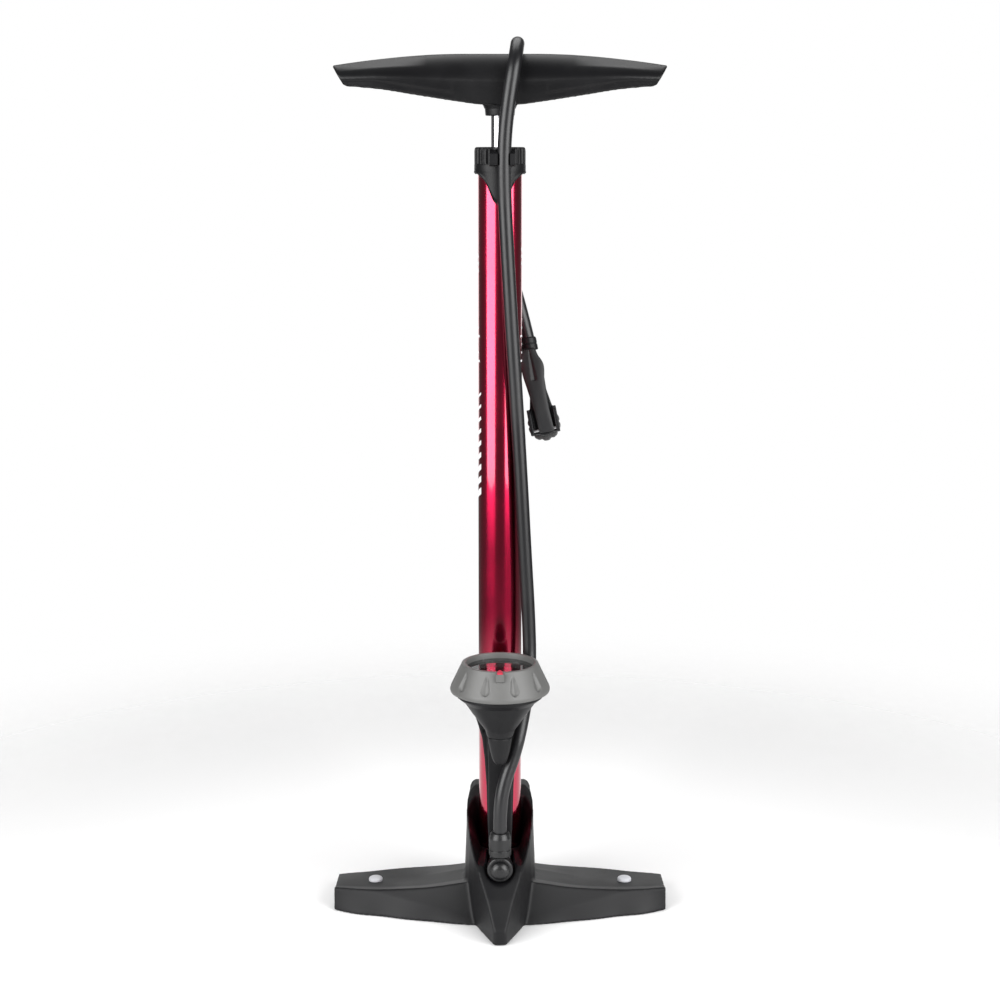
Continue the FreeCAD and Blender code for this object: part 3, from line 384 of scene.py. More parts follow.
# %% One finish
def finish(name, colour, worn, roughness, gloss_change, texture="grain", scale=1500.0, depth=0.02, **plain):
    """Principled material: colour turns into worn and roughness rises by gloss_change where the
    smudges are, and the texture (grain or lines, at that scale) gives a bump of depth millimetres.
    plain sets further sockets of the shader, such as Metallic or Coat_Weight."""
    material = bpy.data.materials.new(name)
    material.use_nodes = True
    tree = material.node_tree
    shader = tree.nodes["Principled BSDF"]
    for socket, value in plain.items():
        shader.inputs[socket.replace("_", " ")].default_value = value
    mask = tree.nodes.new("ShaderNodeGroup")
    mask.node_tree = effects["smudges"]
    mask.inputs["Scale"].default_value = smudge_scale
    tint = tree.nodes.new("ShaderNodeMix")
    tint.data_type = "RGBA"
    tint.inputs["A"].default_value = (*colour, 1.0)
    tint.inputs["B"].default_value = (*worn, 1.0)
    tree.links.new(mask.outputs["Mask"], tint.inputs["Factor"])
    tree.links.new(tint.outputs["Result"], shader.inputs["Base Color"])
    gloss = tree.nodes.new("ShaderNodeMapRange")
    gloss.inputs["To Min"].default_value = roughness
    gloss.inputs["To Max"].default_value = roughness + gloss_change
    tree.links.new(mask.outputs["Mask"], gloss.inputs["Value"])
    tree.links.new(gloss.outputs["Result"], shader.inputs["Roughness"])
    relief = tree.nodes.new("ShaderNodeGroup")
    relief.node_tree = effects[texture]
    relief.inputs["Scale"].default_value = scale
    bump = tree.nodes.new("ShaderNodeBump")
    bump.inputs["Strength"].default_value = 1.0
    bump.inputs["Distance"].default_value = depth * mm
    tree.links.new(relief.outputs["Height"], bump.inputs["Height"])
    tree.links.new(bump.outputs["Normal"], shader.inputs["Normal"])
    return material


# %% [markdown]
# The real pump has four families of finish. Foot, bracket, cap and handle are black nylon with a
# fine mould grain. The barrel is aluminium, brushed and dyed crimson, under a clear glossy layer.
# Rod and small parts are bright metal. Hose and pads are rubber, blacker and smoother than nylon.

# %% The pump's materials
black = (0.0045, 0.0045, 0.0052)
dusty = (0.0065, 0.0065, 0.0072)
faint_shine = {"Specular_IOR_Level": 0.24}
metal = {"Metallic": 1.0}
cut_metal = dict(texture="lines", scale=900.0, depth=0.01, **metal)
# name: colour, smudged colour, roughness, its rise at smudges, then what differs from the default
looks = {
    "foot_plastic": (black, dusty, 0.46, 0.08, dict(scale=1300.0, depth=0.05, **faint_shine)),
    "bracket_plastic": (black, dusty, 0.42, 0.08, dict(depth=0.035, **faint_shine)),
    "cap_plastic": (black, dusty, 0.42, 0.08, dict(depth=0.035, **faint_shine)),
    "handle_plastic": ((0.003, 0.003, 0.0036), dusty, 0.40, 0.08, dict(scale=1300.0, depth=0.05, **faint_shine)),
    "handle_core_plastic": (black, dusty, 0.40, 0.06, dict(scale=1600.0, depth=0.03, **faint_shine)),
    "foot_rubber": ((0.02, 0.02, 0.02), (0.05, 0.048, 0.045), 0.8, 0.1, dict(scale=900.0, depth=0.06)),
    "stud_grey": ((0.50, 0.51, 0.54), (0.42, 0.42, 0.44), 0.40, 0.1, {}),
    "barrel_anodised": (
        (0.50, 0.010, 0.055), (0.46, 0.008, 0.048), 0.19, 0.05,
        dict(texture="lines", scale=1100.0, depth=0.006, Coat_Weight=1.0, Coat_Roughness=0.05, **metal),
    ),
    "rod_chrome": (
        (0.58, 0.58, 0.60), (0.52, 0.52, 0.54), 0.10, 0.06, dict(texture="lines", scale=1300.0, depth=0.003, **metal),
    ),
    "steel": ((0.50, 0.50, 0.51), (0.42, 0.41, 0.40), 0.28, 0.1, cut_metal),
    "brass": ((0.72, 0.52, 0.22), (0.55, 0.38, 0.16), 0.26, 0.12, cut_metal),
    "inner_plastic": ((0.10, 0.10, 0.11), (0.13, 0.13, 0.13), 0.5, 0.08, {}),
    "seal_rubber": ((0.015, 0.015, 0.015), (0.03, 0.03, 0.03), 0.6, 0.15, {}),
    "fitting_black": ((0.005, 0.005, 0.0055), dusty, 0.34, 0.1, dict(scale=1800.0)),
    "gauge_case": ((0.004, 0.004, 0.005), dusty, 0.42, 0.08, dict(depth=0.03, **faint_shine)),
    "gauge_tail_black": ((0.005, 0.005, 0.0055), dusty, 0.44, 0.06, dict(depth=0.03, **faint_shine)),
    "gauge_bezel": ((0.098, 0.098, 0.095), (0.112, 0.112, 0.109), 0.46, 0.06, dict(depth=0.03)),
    "marker_red": ((0.62, 0.02, 0.06), (0.55, 0.02, 0.05), 0.35, 0.08, {}),
    "dial_white": (
        (0.66, 0.66, 0.68), (0.60, 0.60, 0.62), 0.38, 0.1, dict(texture="lines", scale=700.0, depth=0.004),
    ),
    "needle_black": ((0.01, 0.01, 0.01), (0.02, 0.02, 0.02), 0.35, 0.1, dict(depth=0.01)),
    "hose_rubber": ((0.005, 0.005, 0.006), (0.008, 0.008, 0.009), 0.36, 0.08, dict(scale=1100.0, depth=0.03)),
    "chuck_black": ((0.007, 0.007, 0.008), dusty, 0.42, 0.08, dict(depth=0.03, **faint_shine)),
    "lever_grey": ((0.017, 0.017, 0.018), (0.022, 0.022, 0.023), 0.42, 0.08, dict(depth=0.03, **faint_shine)),
    "nut_grey": ((0.055, 0.055, 0.055), (0.065, 0.065, 0.065), 0.48, 0.08, dict(depth=0.03)),
    "insert_red": ((0.42, 0.008, 0.03), (0.36, 0.008, 0.025), 0.4, 0.1, {}),
    "plunger_steel": ((0.5, 0.5, 0.51), (0.4, 0.4, 0.4), 0.3, 0.1, cut_metal),
    "lens_clear": (
        (0.02, 0.02, 0.02), (0.03, 0.03, 0.03), 0.02, 0.02,
        dict(depth=0.0, Alpha=0.34, Coat_Weight=1.0, Coat_Roughness=0.01),
    ),
}
finishes = {name: finish(name, *values, **rest) for name, (*values, rest) in looks.items()}
white_print = finish("white_print", (0.80, 0.80, 0.81), (0.72, 0.72, 0.73), 0.35, 0.1, depth=0.005)
print(len(finishes), "finishes for the design's slots")

# %% [markdown]
# The pieces inside the pump keep the mesh of the design, and so do the lens and the small screws and
# pins, which are already the shape that shows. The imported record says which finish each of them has.

# %% The design's own pieces get their finish
slot_of = {part["node"]: part["material_slot"] for part in frame["record"]["subparts"]}
bodies = frame["record"]["behaviour"]["bodies"]
body_of = {node: body for body, nodes in bodies.items() for node in nodes}
for node, shown in frame["nodes"].items():
    if not shown.data.materials:
        shown.data.materials.append(None)
    for place in shown.material_slots:
        place.material = finishes[slot_of[node]]


def dress(made, *nodes):
    """The piece stands for these nodes, and takes the first one's body, slot and finish."""
    made.data.materials.clear()
    made.data.materials.append(finishes[slot_of[nodes[0]]])
    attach(made, body_of[nodes[0]])
    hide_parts(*nodes)
    return made


def add_on(made, node, look):
    """A detail with a finish of its own, which rides with a node's body."""
    made.data.materials.clear()
    made.data.materials.append(look)
    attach(made, body_of[node])
    return made


print(len(slot_of), "nodes have their finish")

# %% [markdown]
# The hose's skin is one piece that follows the whole line, from the swivel fitting past the gauge,
# and takes the place of the design's hose.

# %% Hose
hose_r = 5.0
hose = piece("rubber_hose", hose_skin(hose_line, hose_r), crease=60)
hose.data.materials.append(finishes["hose_rubber"])
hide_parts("hose")
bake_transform(hose)
print("hose skin:", len(hose.data.polygons), "faces")

# %% [markdown]
# ## Barrel and rod
# The barrel is drawn tube, and so is the rod. A closed outline with a real wall, carried round the
# axis, gives what a maker cuts. The printed bars stand in for a maker's decoration: slanted strokes
# on both sides of the tube, each a thin skin just above the anodised surface.

# %% Barrel
tube_wall = 1.5


def tube(node, edge, sides):
    """Shell of a drawn tube as long as the node, with eased edges."""
    low, high = reach(node)
    inner, outer = high[0] - tube_wall, high[0]
    outline = [(inner, low[2]), (outer, low[2]), (outer, high[2]), (inner, high[2])]
    return turned(softened(outline, edge), sides)


dress(piece("barrel_tube", tube("barrel", 0.4, 192)), "barrel")


def printed_bar(side, height, length, half_turn, slant):
    """Thin stroke: four corners carried round the barrel over an angle, rising by slant on the way."""
    t = np.linspace(-1, 1, 17)
    angle = side + np.radians(half_turn) * t
    inner, outer = barrel_r - 0.05, barrel_r + 0.05
    corners = [(inner, -0.5), (outer, -0.5), (outer, 0.5), (inner, 0.5)]
    middle = height + slant * t / 2
    rings = [np.stack([r * np.cos(angle), r * np.sin(angle), middle + share * length], -1) for r, share in corners]
    return bar(np.stack(rings, axis=1))


strokes = []
for side in (0.0, math.pi):
    strokes += [printed_bar(side, 318 + 9.0 * n, 5.0 - 0.4 * n, 30, 9.0) for n in range(9)]
    strokes += [printed_bar(side, 418 + 6.0 * n, 1.6, 22 - 7 * (n % 3), 0.0) for n in range(6)]
    strokes += [printed_bar(side, 486 + 5.0 * n, 2.6, 16, -6.0) for n in range(3)]
add_on(piece("barrel_print", *strokes), "barrel", white_print)

# %% Piston rod
rod_r = reach("piston_rod")[1][0]
dress(piece("polished_rod", tube("piston_rod", 0.3, 128)), "piston_rod")

# %% [markdown]
# ## Barrel cap
# The cap is one moulding. A ring of narrow grip flutes sits over a plain band, and the band runs down
# into two tongues, in front and behind, that stiffen it on the tube. So the lower edge of the shell is
# a function of the angle. Hooks on both faces hold the hose: a block with a round channel.

# %% Barrel cap
low, high = reach("barrel_cap")
cap_top, tongue_bottom, hook_tip = high[2], low[2], high[1]
seat_r = barrel_r + 0.1
flutes = 24


def cap_shell():
    """Grid over angle and height: fixed heights down the flutes and the band, then rows that share
    the way down to the tongue's edge, then the inside. The edge rises with the angle from the front."""
    sides = 16 * flutes
    angle = np.linspace(0, 2 * math.pi, sides, endpoint=False)[:, None]
    away = np.degrees(np.arccos(np.abs(np.sin(angle)).clip(0, 1)))
    edge = tongue_bottom + eased(away, [0, 8, 16, 26, 36, 50, 62, 90], [0, 0.6, 3, 10, 15.8, 19.4, 21.2, 21.5])
    ring = cap_top - np.array([[0.0, 0.3, 0.8, 1.8, 3.0, 7.0, 11.0, 11.6, 12.0, 12.4, 17.0]])
    ring_r = np.array([[16.9, 17.6, 18.0, 18.3, 18.4, 18.4, 18.4, 18.4, 18.3, 18.5, 18.5]])
    ring_cut = np.array([[0, 0.1, 0.5, 0.9, 1.0, 1.0, 1.0, 0.8, 0.0, 0.0, 0.0]])
    groove = np.cos(flutes * angle).clip(0, 1) ** 2
    share = np.linspace(0.08, 1, 16)[None, :]
    skirt = (1 - share) * (cap_top - 17.0) + share * edge
    skirt_r = 18.4 - 0.7 * share + 0.6 * np.exp(-(((skirt - edge) - 1.2) ** 2))
    roof = [np.full_like(edge, cap_top - drop) for drop in (8, 8, 0)]
    inner_z = np.concatenate([edge, edge, *roof], axis=1)
    one = np.ones_like(edge)
    inner_r = np.array([[17.4, seat_r, seat_r, 9.1, 9.1]]) * one
    radius = np.concatenate([ring_r - ring_cut * groove, skirt_r, inner_r], axis=1)
    height = np.concatenate([ring * one, skirt, inner_z], axis=1)
    points = np.stack([radius * np.cos(angle), radius * np.sin(angle), height], -1)
    return points.reshape(-1, 3), grid_faces(sides, radius.shape[1], True, True)


def hook(face, hose_x, hose_y):
    """Block on the cap's front (-1) or rear (1) face, sloping down outwards, with the hose's channel
    open to the outside through a narrower mouth."""
    outline = [(16.8, -13), (16.8, -0.3), (22, -1.4), (hook_tip, -4.6), (hook_tip, -12.6), (22, -13.4)]
    across = softened([(face * y, cap_top + z) for y, z in outline], 1.2)
    block = piece("hook_block", prism(across, -7.4, 10.6, 0))
    bore = [(0, cap_top - 20), (hose_r + 0.3, cap_top - 20), (hose_r + 0.3, cap_top + 5), (0, cap_top + 5)]
    channel = piece("hook_channel", moved(turned(bore, 48, False), by=(hose_x, hose_y, 0)))
    near, far = sorted((hose_y, face * 40))
    mouth = piece("hook_mouth", box((hose_x - 4.4, near, cap_top - 20), (hose_x + 4.4, far, cap_top + 5)))
    return combine(block, [channel, mouth], "DIFFERENCE")


cap = piece("fluted_cap", cap_shell())
combine(cap, [hook(-1, 2.7, -24.9), hook(1, 3.1, 25.1)], "UNION")
shade(cap.data, 32)
dress(cap, "barrel_cap")
print("cap:", len(cap.data.polygons), "faces")

# %% [markdown]
# ## Handle
# The handle is a wing: a soft black skin over a stiff core. Its outline changes all the way along,
# crowned on top, with a thin ledge along the front face, and six finger grooves underneath that run
# into the hub. It could be sculpted, but a section that is a function of the place along the bar gives
# both halves at once, and a fine even skin afterwards rounds the grooves as a mould does.

# %% Handle grip
handle_half = reach("handle_core")[1][0]
hub_bottom = reach("handle_core")[0][2]


def grip_shell(half):
    """Rings along X. Each has a crowned top, a front wall with a ledge, a grooved floor and a rear
    wall, whose heights and widths are smooth curves of the distance from the middle. The ends are
    cut aslant: a point moves in by a share of its depth below the top."""
    x = np.linspace(-half, half, 221)[:, None]
    far = np.abs(x)
    stations = [0, 17, 31, 58, 86, 110, 119]
    top = eased(far, stations, [636, 636, 635.9, 634.7, 632.1, 629.0, 627.6])
    floor = eased(far, stations, [600.2, 601.2, 603.1, 607.2, 611.2, 613.0, 613.6])
    front = eased(far, stations, [-19.6, -19.8, -21.4, -24.2, -23.4, -20.4, -18.8])
    rear = eased(far, stations, [19.6, 19.4, 18.8, 16.6, 14.0, 10.8, 9.4])
    edge = eased(far, stations, [616.5, 616.6, 617.0, 618.2, 619.0, 618.4, 618.2])
    u = np.linspace(1, -1, 61)[None, :]
    over_y = (front + rear) / 2 + (rear - front) / 2 * u
    crown = (1 - u**2) ** 0.8
    flat = 1 - (1 - 0.516) * (-u / 0.75).clip(0, 1)
    scoop = (1 - ((far - 84) / 32) ** 2).clip(0, 1) ** 0.7 * ((u < 0) & (u > -0.75))
    over_z = edge + (top - edge) * (crown - scoop * (crown - flat))
    wall_in = 6.2 * np.clip((edge - floor) / 16, 0.3, 1)
    ledge = (1 - 5.2 / (edge - floor)).clip(0.25, 0.75)
    below = 1 - ledge
    steps = [0.4 * ledge, 0.8 * ledge, ledge - 0.03, ledge + 0.03]
    steps += [ledge + part * below for part in (0.3, 0.65, 1)]
    step = np.concatenate(steps, axis=1)
    share = ((far - 33) / 0.8).clip(0, 1) * 1.3 / wall_in
    inset = step**1.4 * (1 - share) + share * (step > ledge)
    front_y, front_z = front + wall_in * inset, edge + (floor - edge) * step
    v = np.linspace(0, 1, 73)[None, 1:-1]
    floor_y = (front + wall_in) * (1 - v) + (rear - 0.7 * wall_in) * v
    groove = (0.5 - 0.5 * np.cos(2 * math.pi * 6 * v)) ** 1.5
    fade = np.clip((half - 1 - far) / 4, 0, 1) * np.clip((far - 6) / 10, 0.25, 1)
    floor_z = floor + 3.4 * groove * fade
    back = np.array([[0.0, 0.2, 0.5, 0.8, 0.95]])
    rear_y, rear_z = rear - 0.7 * wall_in * (1 - back) ** 1.3, floor + (edge - floor) * back
    y = np.concatenate([over_y, front_y, floor_y, rear_y], axis=1)
    z = np.concatenate([over_z, front_z, floor_z, rear_z], axis=1)
    slant = np.clip((far - 60) / (half - 60), 0, 1) ** 2 * 0.62 * (top - z).clip(0)
    return bar(np.stack([x - np.sign(x) * slant, y, z], -1))


hub_mouth = hub_bottom + 4.5
flare = [(0, 0), (11.0, 0), (12.2, 3), (13.8, 6), (16.5, 10), (17.2, 16), (0, 20)]
flare = [(r, hub_mouth + rise) for r, rise in flare]
grip = piece("winged_grip", grip_shell(handle_half - 0.3))
combine(grip, [piece("hub_flare", turned(flare, 96, False))], "UNION")
dress(moulded(grip, 0.75, 4), "handle_grip")

# %% Handle hub
hub_bore = rod_r + 0.1
outline = [
    (hub_bore, hub_bottom), (10.4, hub_bottom), (10.8, hub_mouth - 0.2), (10.4, hub_mouth + 6),
    (hub_bore, hub_mouth + 6),
]
dress(piece("handle_hub", turned(softened(outline, 0.7), 128)), "handle_core")

# %% [markdown]
# ## Foot
# The foot is a single nylon moulding with three prongs. Two thin wings carry the feet on which a
# person stands. The middle rises to a collar round the barrel, and a trough runs from the collar
# forwards past the gauge's post to the hose fitting. Behind, two finger scallops help to lift the pump.
# Each part is a simple surface: a wing is a section drawn out along X, the spine is a side view cut
# to a tapered plan. They are joined, hollowed, and given one even skin.

# %% Foot wings and spine
low, high = reach("base_foot")
half_span, heel, nose, collar_top = high[0], high[1], low[1], high[2]
sole = 0.2


def wing_shell():
    """Rings along X. The section has a sole, a low rear edge, a dished top, a crest near the front, a
    facet that widens towards the middle and a steep lower strip."""
    x = np.linspace(-half_span, half_span, 161)[:, None]
    far = np.abs(x)
    one = np.ones_like(x)
    rear_at = [0, 29, 50, 69, 85, 100, 124, half_span]
    rear = eased(far, rear_at, [41.5, 41, 40, 38.3, 35, 30.6, 26, 25.4])
    rear_top = eased(far, [0, 20, 40, 69, 100, half_span], [17.5, 15.8, 13.6, 12.6, 12.6, 12])
    dish = eased(far, [0, 26, 60, half_span], [24, 21.6, 15.8, 13.8])
    crest_at = [0, 24, 50, 73, 99, 120, half_span]
    crest_y = eased(far, crest_at, [-33, -33, -31, -27.5, -23, -19, -17.6])
    crest = eased(far, crest_at, [31, 28.5, 23.8, 20.8, 18.4, 18.0, 18.0])
    facet_at = [0, 20, 55, 99, 112, half_span]
    facet_y = eased(far, facet_at, [-45, -44, -38, -24.2, -21.2, -18.6])
    facet = eased(far, facet_at, [4.6, 6.6, 11.3, 17.0, 17.2, 17.2])
    front_at = [0, 19, 35, 51, 72, 88, 111, half_span]
    front = eased(far, front_at, [-49.8, -49.5, -47, -43, -38.5, -33.5, -28, -20.5])
    across = [
        (rear, sole * one), (rear - 0.9, rear_top * 0.6), (rear - 2.2, rear_top),
        (0.6 * rear, 0.5 * (rear_top + dish)), (0.25 * rear, dish),
        (0.5 * crest_y, 0.35 * crest + 0.65 * dish), (crest_y, crest), (facet_y, facet), (front, sole * one),
    ]
    return bar(np.stack([np.concatenate([x, y, z], axis=1) for y, z in across], axis=1))


def spine_side():
    """Side view of the middle: heel, back, collar, the crest of the trough's walls, and the nose."""
    return [
        (heel, sole), (heel, 4.0), (43.5, 36.5), (38.0, 60), (31.0, 85.5), (28, collar_top - 0.2),
        (14, collar_top), (9, 82.5), (-2, 75.2), (-23, 67.8), (-43, 52.8), (-54.3, 45.2), (-70, 29.5),
        (nose + 0.5, 11.0), (nose, sole),
    ]


def spine_front():
    """Front view of the middle: it narrows upwards and closes round the barrel in a smooth arch."""
    right = [
        (29, -1), (28.6, 26), (26.0, 60), (25.6, 72), (25.0, 78.5), (23.4, 83), (20.8, 86.8), (17.0, 89.6), (6, 92),
    ]
    return right + [(-x, z) for x, z in reversed(right)]


def spine_plan():
    """Rings up Z: half of the plan is an outline that narrows with height to the top, mirrored."""
    half = np.array([
        (heel + 1, 14, 8), (43, 22.5, 16), (26, 27, 24.0), (0, 28, 25.6), (-20, 28.0, 24.2), (-32, 25.0, 22.4),
        (-46, 19.4, 19.0), (-58, 15.0, 15.0), (nose - 0.6, 4.2, 2.2),
    ])
    y, base, top = half.T
    levels = np.linspace(-1, collar_top + 2, 14)
    width = base + (top - base) * np.clip(levels[:, None] / 62, 0, 1)
    right = np.stack([width, np.broadcast_to(y, width.shape)], -1)
    rings = [softened(np.concatenate([part, (part * (-1, 1))[::-1]]), 7.0) for part in right]
    return bar(np.stack([np.insert(ring, 2, z, axis=1) for ring, z in zip(rings, levels)]))


spine = piece("spine", prism(softened(spine_side(), 2.4), -40, 40, 0))
arch = prism(softened(spine_front(), 4.0), -100, 100, 1)
combine(spine, [piece("spine_plan", spine_plan()), piece("spine_arch", arch)], "INTERSECT")
print("spine:", len(spine.data.polygons), "faces")


# %% Foot hollows
def scallop(y, z, r):
    """Ring-shaped cutter round the back of the spine. It is wider across than deep, so that it fades
    out at the sides, and swings clear of the spine in front."""
    t = np.linspace(0, 2 * math.pi, 40, endpoint=False)
    circle = np.column_stack([y + r * np.cos(t), z + r * np.sin(t)])
    clear = lambda angle, radius, height: radius + 60 * np.clip(-np.sin(angle), 0, 1)
    points, faces = turned(circle, 120, swell=clear)
    return points * (39 / y, 1, 1), faces


def upright(radius, bottom, top, x=0.0, y=0.0):
    """Shell of an upright cylinder, for boring holes."""
    return moved(turned([(0, bottom), (radius, bottom), (radius, top), (0, top)], 96, False), by=(x, y, 0))


def lengthways(profile, z, sides=96, closed=False, swell=None):
    """Turned shell whose axis lies along Y at a height; its profile is (radius, y)."""
    shell = turned([(r, -y) for r, y in profile], sides, closed, swell)
    return moved(shell, Matrix.Rotation(math.radians(90), 4, "X"), by=(0, 0, z))


swivel_low, swivel_high = reach("swivel_elbow")
elbow_r = swivel_high[0]
swivel_z = swivel_low[2] + elbow_r
elbow_front, elbow_rear = swivel_low[1], -49.0
pocket_r = elbow_r + 1.6


def trough_shell():
    """Rings up Z of the hollow in front of the barrel. At each place its half width opens from the gap
    round the post, at the given depth below the crest, to the crest's edge, as the 1.5th power of the
    way up."""
    depth = 22
    y = np.array([8, -2, -12, -22, -32, -42, -50, -58, -90.0])
    gap = np.array([15.6, 17.4, 15.4, 13.4, 12.2, 11.6, pocket_r + 0.2, pocket_r, pocket_r])
    crest = np.array([84, 75.2, 71.5, 67.5, 60.5, 53.0, 47.6, 42, 20])
    edge = np.array([19.0, 24.4, 24.2, 23.4, 21.6, 18.8, 16.4, 13.4, pocket_r])
    levels = np.linspace(swivel_z, 122, 60)[:, None]
    half = gap + (edge - gap) * ((levels - crest + depth) / depth).clip(0, 1.5) ** 1.5
    right = np.stack([half, np.broadcast_to(y, half.shape), np.broadcast_to(levels, half.shape)], -1)
    return bar(np.concatenate([right, right[:, ::-1] * (-1, 1, 1)], axis=1))


cutters = [
    piece("barrel_hole", upright(barrel_r + 0.1, 16, 120)),
    piece("trough_upper", trough_shell()),
    piece("trough_lower", prism([(-10, -16), (-10, -45), (10, -45), (10, -16)], 26, 60, 2)),
    piece("swivel_pocket", lengthways([(0, -44), (pocket_r, -44), (pocket_r, -90), (0, -90)], swivel_z)),
    piece("upper_scallop", scallop(32.5, 70.5, 12.3)),
    piece("lower_scallop", scallop(40.5, 48.5, 11.6)),
]
foot = piece("three_prong_foot", wing_shell())
combine(foot, [spine], "UNION")
combine(foot, cutters, "DIFFERENCE")
dress(moulded(foot, 1.0, 5), "base_foot")

# %% [markdown]
# Four rubber pads keep the nylon off the floor, and two pale buttons cover the screws in the wings.
# Both are small turned pieces with eased edges, placed where the design has them.

# %% Pads and buttons
def islands(node):
    """Middles (x, y) of the separate solids of a node, found by joining the loose triangles' corners."""
    work = bmesh.new()
    work.from_mesh(frame["nodes"][node].data)
    bmesh.ops.remove_doubles(work, verts=work.verts, dist=1e-6)
    work.verts.index_update()
    seen, middles = set(), []
    for start in work.verts:
        if start.index in seen:
            continue
        group, queue = [], [start]
        seen.add(start.index)
        while queue:
            corner = queue.pop()
            group.append(corner.co[:2])
            for edge in corner.link_edges:
                other = edge.other_vert(corner)
                if other.index not in seen:
                    seen.add(other.index)
                    queue.append(other)
        group = np.array(group) / mm
        middles.append((group.min(0) + group.max(0)) / 2 - axis[:2])
    work.free()
    return middles


pad = softened([(0, 0), (6.9, 0), (6.9, 2.9), (0, 2.9)], 0.7, closed=False)
pads = [moved(turned(pad, 64, False), by=(x, y, 0)) for x, y in islands("foot_pads")]
dress(piece("rubber_pads", *pads), "foot_pads")
dome = [(0, 12.5), (5.3, 12.5), (5.3, 15.9), (4.9, 16.6), (3.9, 17.2), (2.0, 17.6), (0, 17.7)]
dome = softened(dome, 0.3, closed=False)
buttons = [moved(turned(dome, 64, False), by=(x, y + 1.5, 0)) for x, y in islands("wing_studs")]
dress(piece("wing_buttons", *buttons), "wing_studs")
print(len(pads), "pads,", len(buttons), "buttons")

# %% [markdown]
# ## Bracket
# The bracket clamps round the barrel and its post carries the gauge. Rounded slots on both cheeks
# take material out where it would sink in the mould. It is a flat outline and a ring, joined, slotted
# and given an even skin.

# %% Gauge bracket
bracket_half = 8.75
post = [
    (-15, 168), (-15, 152), (-16.5, 139), (-22, 122), (-24.5, 96), (-25, 57), (-38.5, 57), (-39.5, 150),
    (-42, 176), (-36, 178), (-26, 172),
]
slot_width, slot_depth = 2.4, 2.15
slots = [
    ((-27, 168.5), (-35.5, 153.5)), ((-22.5, 164), (-32.5, 146.5)), ((-20, 156), (-31.5, 136.5)),
    ((-21, 142.5), (-30.5, 126.5)), ((-25, 124.5), (-29.5, 117)), ((-26.5, 110.5), (-28.5, 107)),
]


def slot_cutters(start, end):
    """Two rounded slots, one in each cheek: the outline of a stadium, pushed in along X."""
    start, end = np.array(start, float), np.array(end, float)
    ahead = math.atan2(*(end - start)[::-1])
    t = np.linspace(-math.pi / 2, math.pi / 2, 13)
    round_end = np.column_stack([np.cos(t), np.sin(t)]) * slot_width / 2
    turn = np.array([[math.cos(ahead), math.sin(ahead)], [-math.sin(ahead), math.cos(ahead)]])
    stadium = np.concatenate([end + round_end @ turn, start - round_end @ turn])
    floor, outside = bracket_half - slot_depth, bracket_half + 4
    return [prism(stadium, *sorted((side * floor, side * outside)), 0) for side in (-1, 1)]


band = softened([(seat_r, 151.6), (21, 151.6), (21, 168.4), (seat_r, 168.4)], 1.0)
bracket = piece("post_and_ring", prism(softened(post, 2.0), -bracket_half, bracket_half, 0))
half_web = [(20.3, 158), (17.2, 150), (13.4, 137), (11.6, 121), (10.2, 100), (9.3, 62)]
web = prism(softened(half_web + [(-x, z) for x, z in reversed(half_web)], 3.0), -20.5, -13, 1)
combine(bracket, [piece("clamp_band", turned(band, 160)), piece("web", web)], "UNION")
cutters = [piece("slot", cut) for slot in slots for cut in slot_cutters(*slot)]
combine(bracket, [piece("barrel_bore", upright(seat_r, 50, 190)), *cutters], "DIFFERENCE")
dress(moulded(bracket, 0.6, 3), "gauge_bracket")

# %% [markdown]
# ## Gauge
# The gauge is a funnel-shaped case that ends in a rounded tail, and a grey bezel that a thumb can
# turn. Ten teardrop dimples round the bezel give grip: each one lowers the cone's radius by a smooth
# bump that is round at its deep lower end and runs out to a point above.

# %% Gauge case and tail
bezel_low, bezel_high = reach("bezel_ring")
gauge_y = (bezel_low[1] + bezel_high[1]) / 2


def at_gauge(shell, matrix=Matrix.Identity(4)):
    """The shell turned by a matrix and then shifted to the gauge's axis."""
    return moved(shell, matrix, (0, gauge_y, 0))


outer = [(9.45, 150), (10.85, 155), (17, 163.5), (26, 176.5), (31.5, 181), (31.5, 183.7), (29, 183.7), (29, 192)]
inner = [(26.8, 192), (26.8, 182.6), (24.4, 178.4), (15.4, 166), (9.0, 157), (8.2, 152.2), (4.2, 152.2), (4.2, 150)]
case = softened(outer + inner, 0.8, steps=6)
case_screw = softened([(0, -0.9), (1.5, -0.9), (1.5, 0.7), (0, 0.7)], 0.4, closed=False)
lean = Matrix.Rotation(math.radians(112), 4, "Y")
screws = [
    at_gauge(turned(case_screw, 32, False), Matrix.Rotation(turn, 4, "Z") @ Matrix.Translation((19.6, 0, 168)) @ lean)
    for turn in np.radians([-90, 180, 0])
]
dress(piece("funnel_case", at_gauge(turned(case, 192)), *screws), "gauge_housing")
tail = [(0, 127.9), (2.6, 128.3), (4.5, 130.2), (5.8, 133.2), (7.3, 139.0), (8.5, 145.5), (9.0, 149.8), (0, 149.8)]
dress(piece("gauge_nose", at_gauge(turned(softened(tail, 1.2, closed=False), 96, False))), "gauge_tail")

# %% Bezel
bezel_bottom, bezel_top = bezel_low[2], bezel_high[2]
bezel_r = bezel_high[0]
opening_r, shoulder_r, shoulder_z = bezel_r - 11.5, bezel_r - 8.6, bezel_bottom + 3.2
dimples = 10


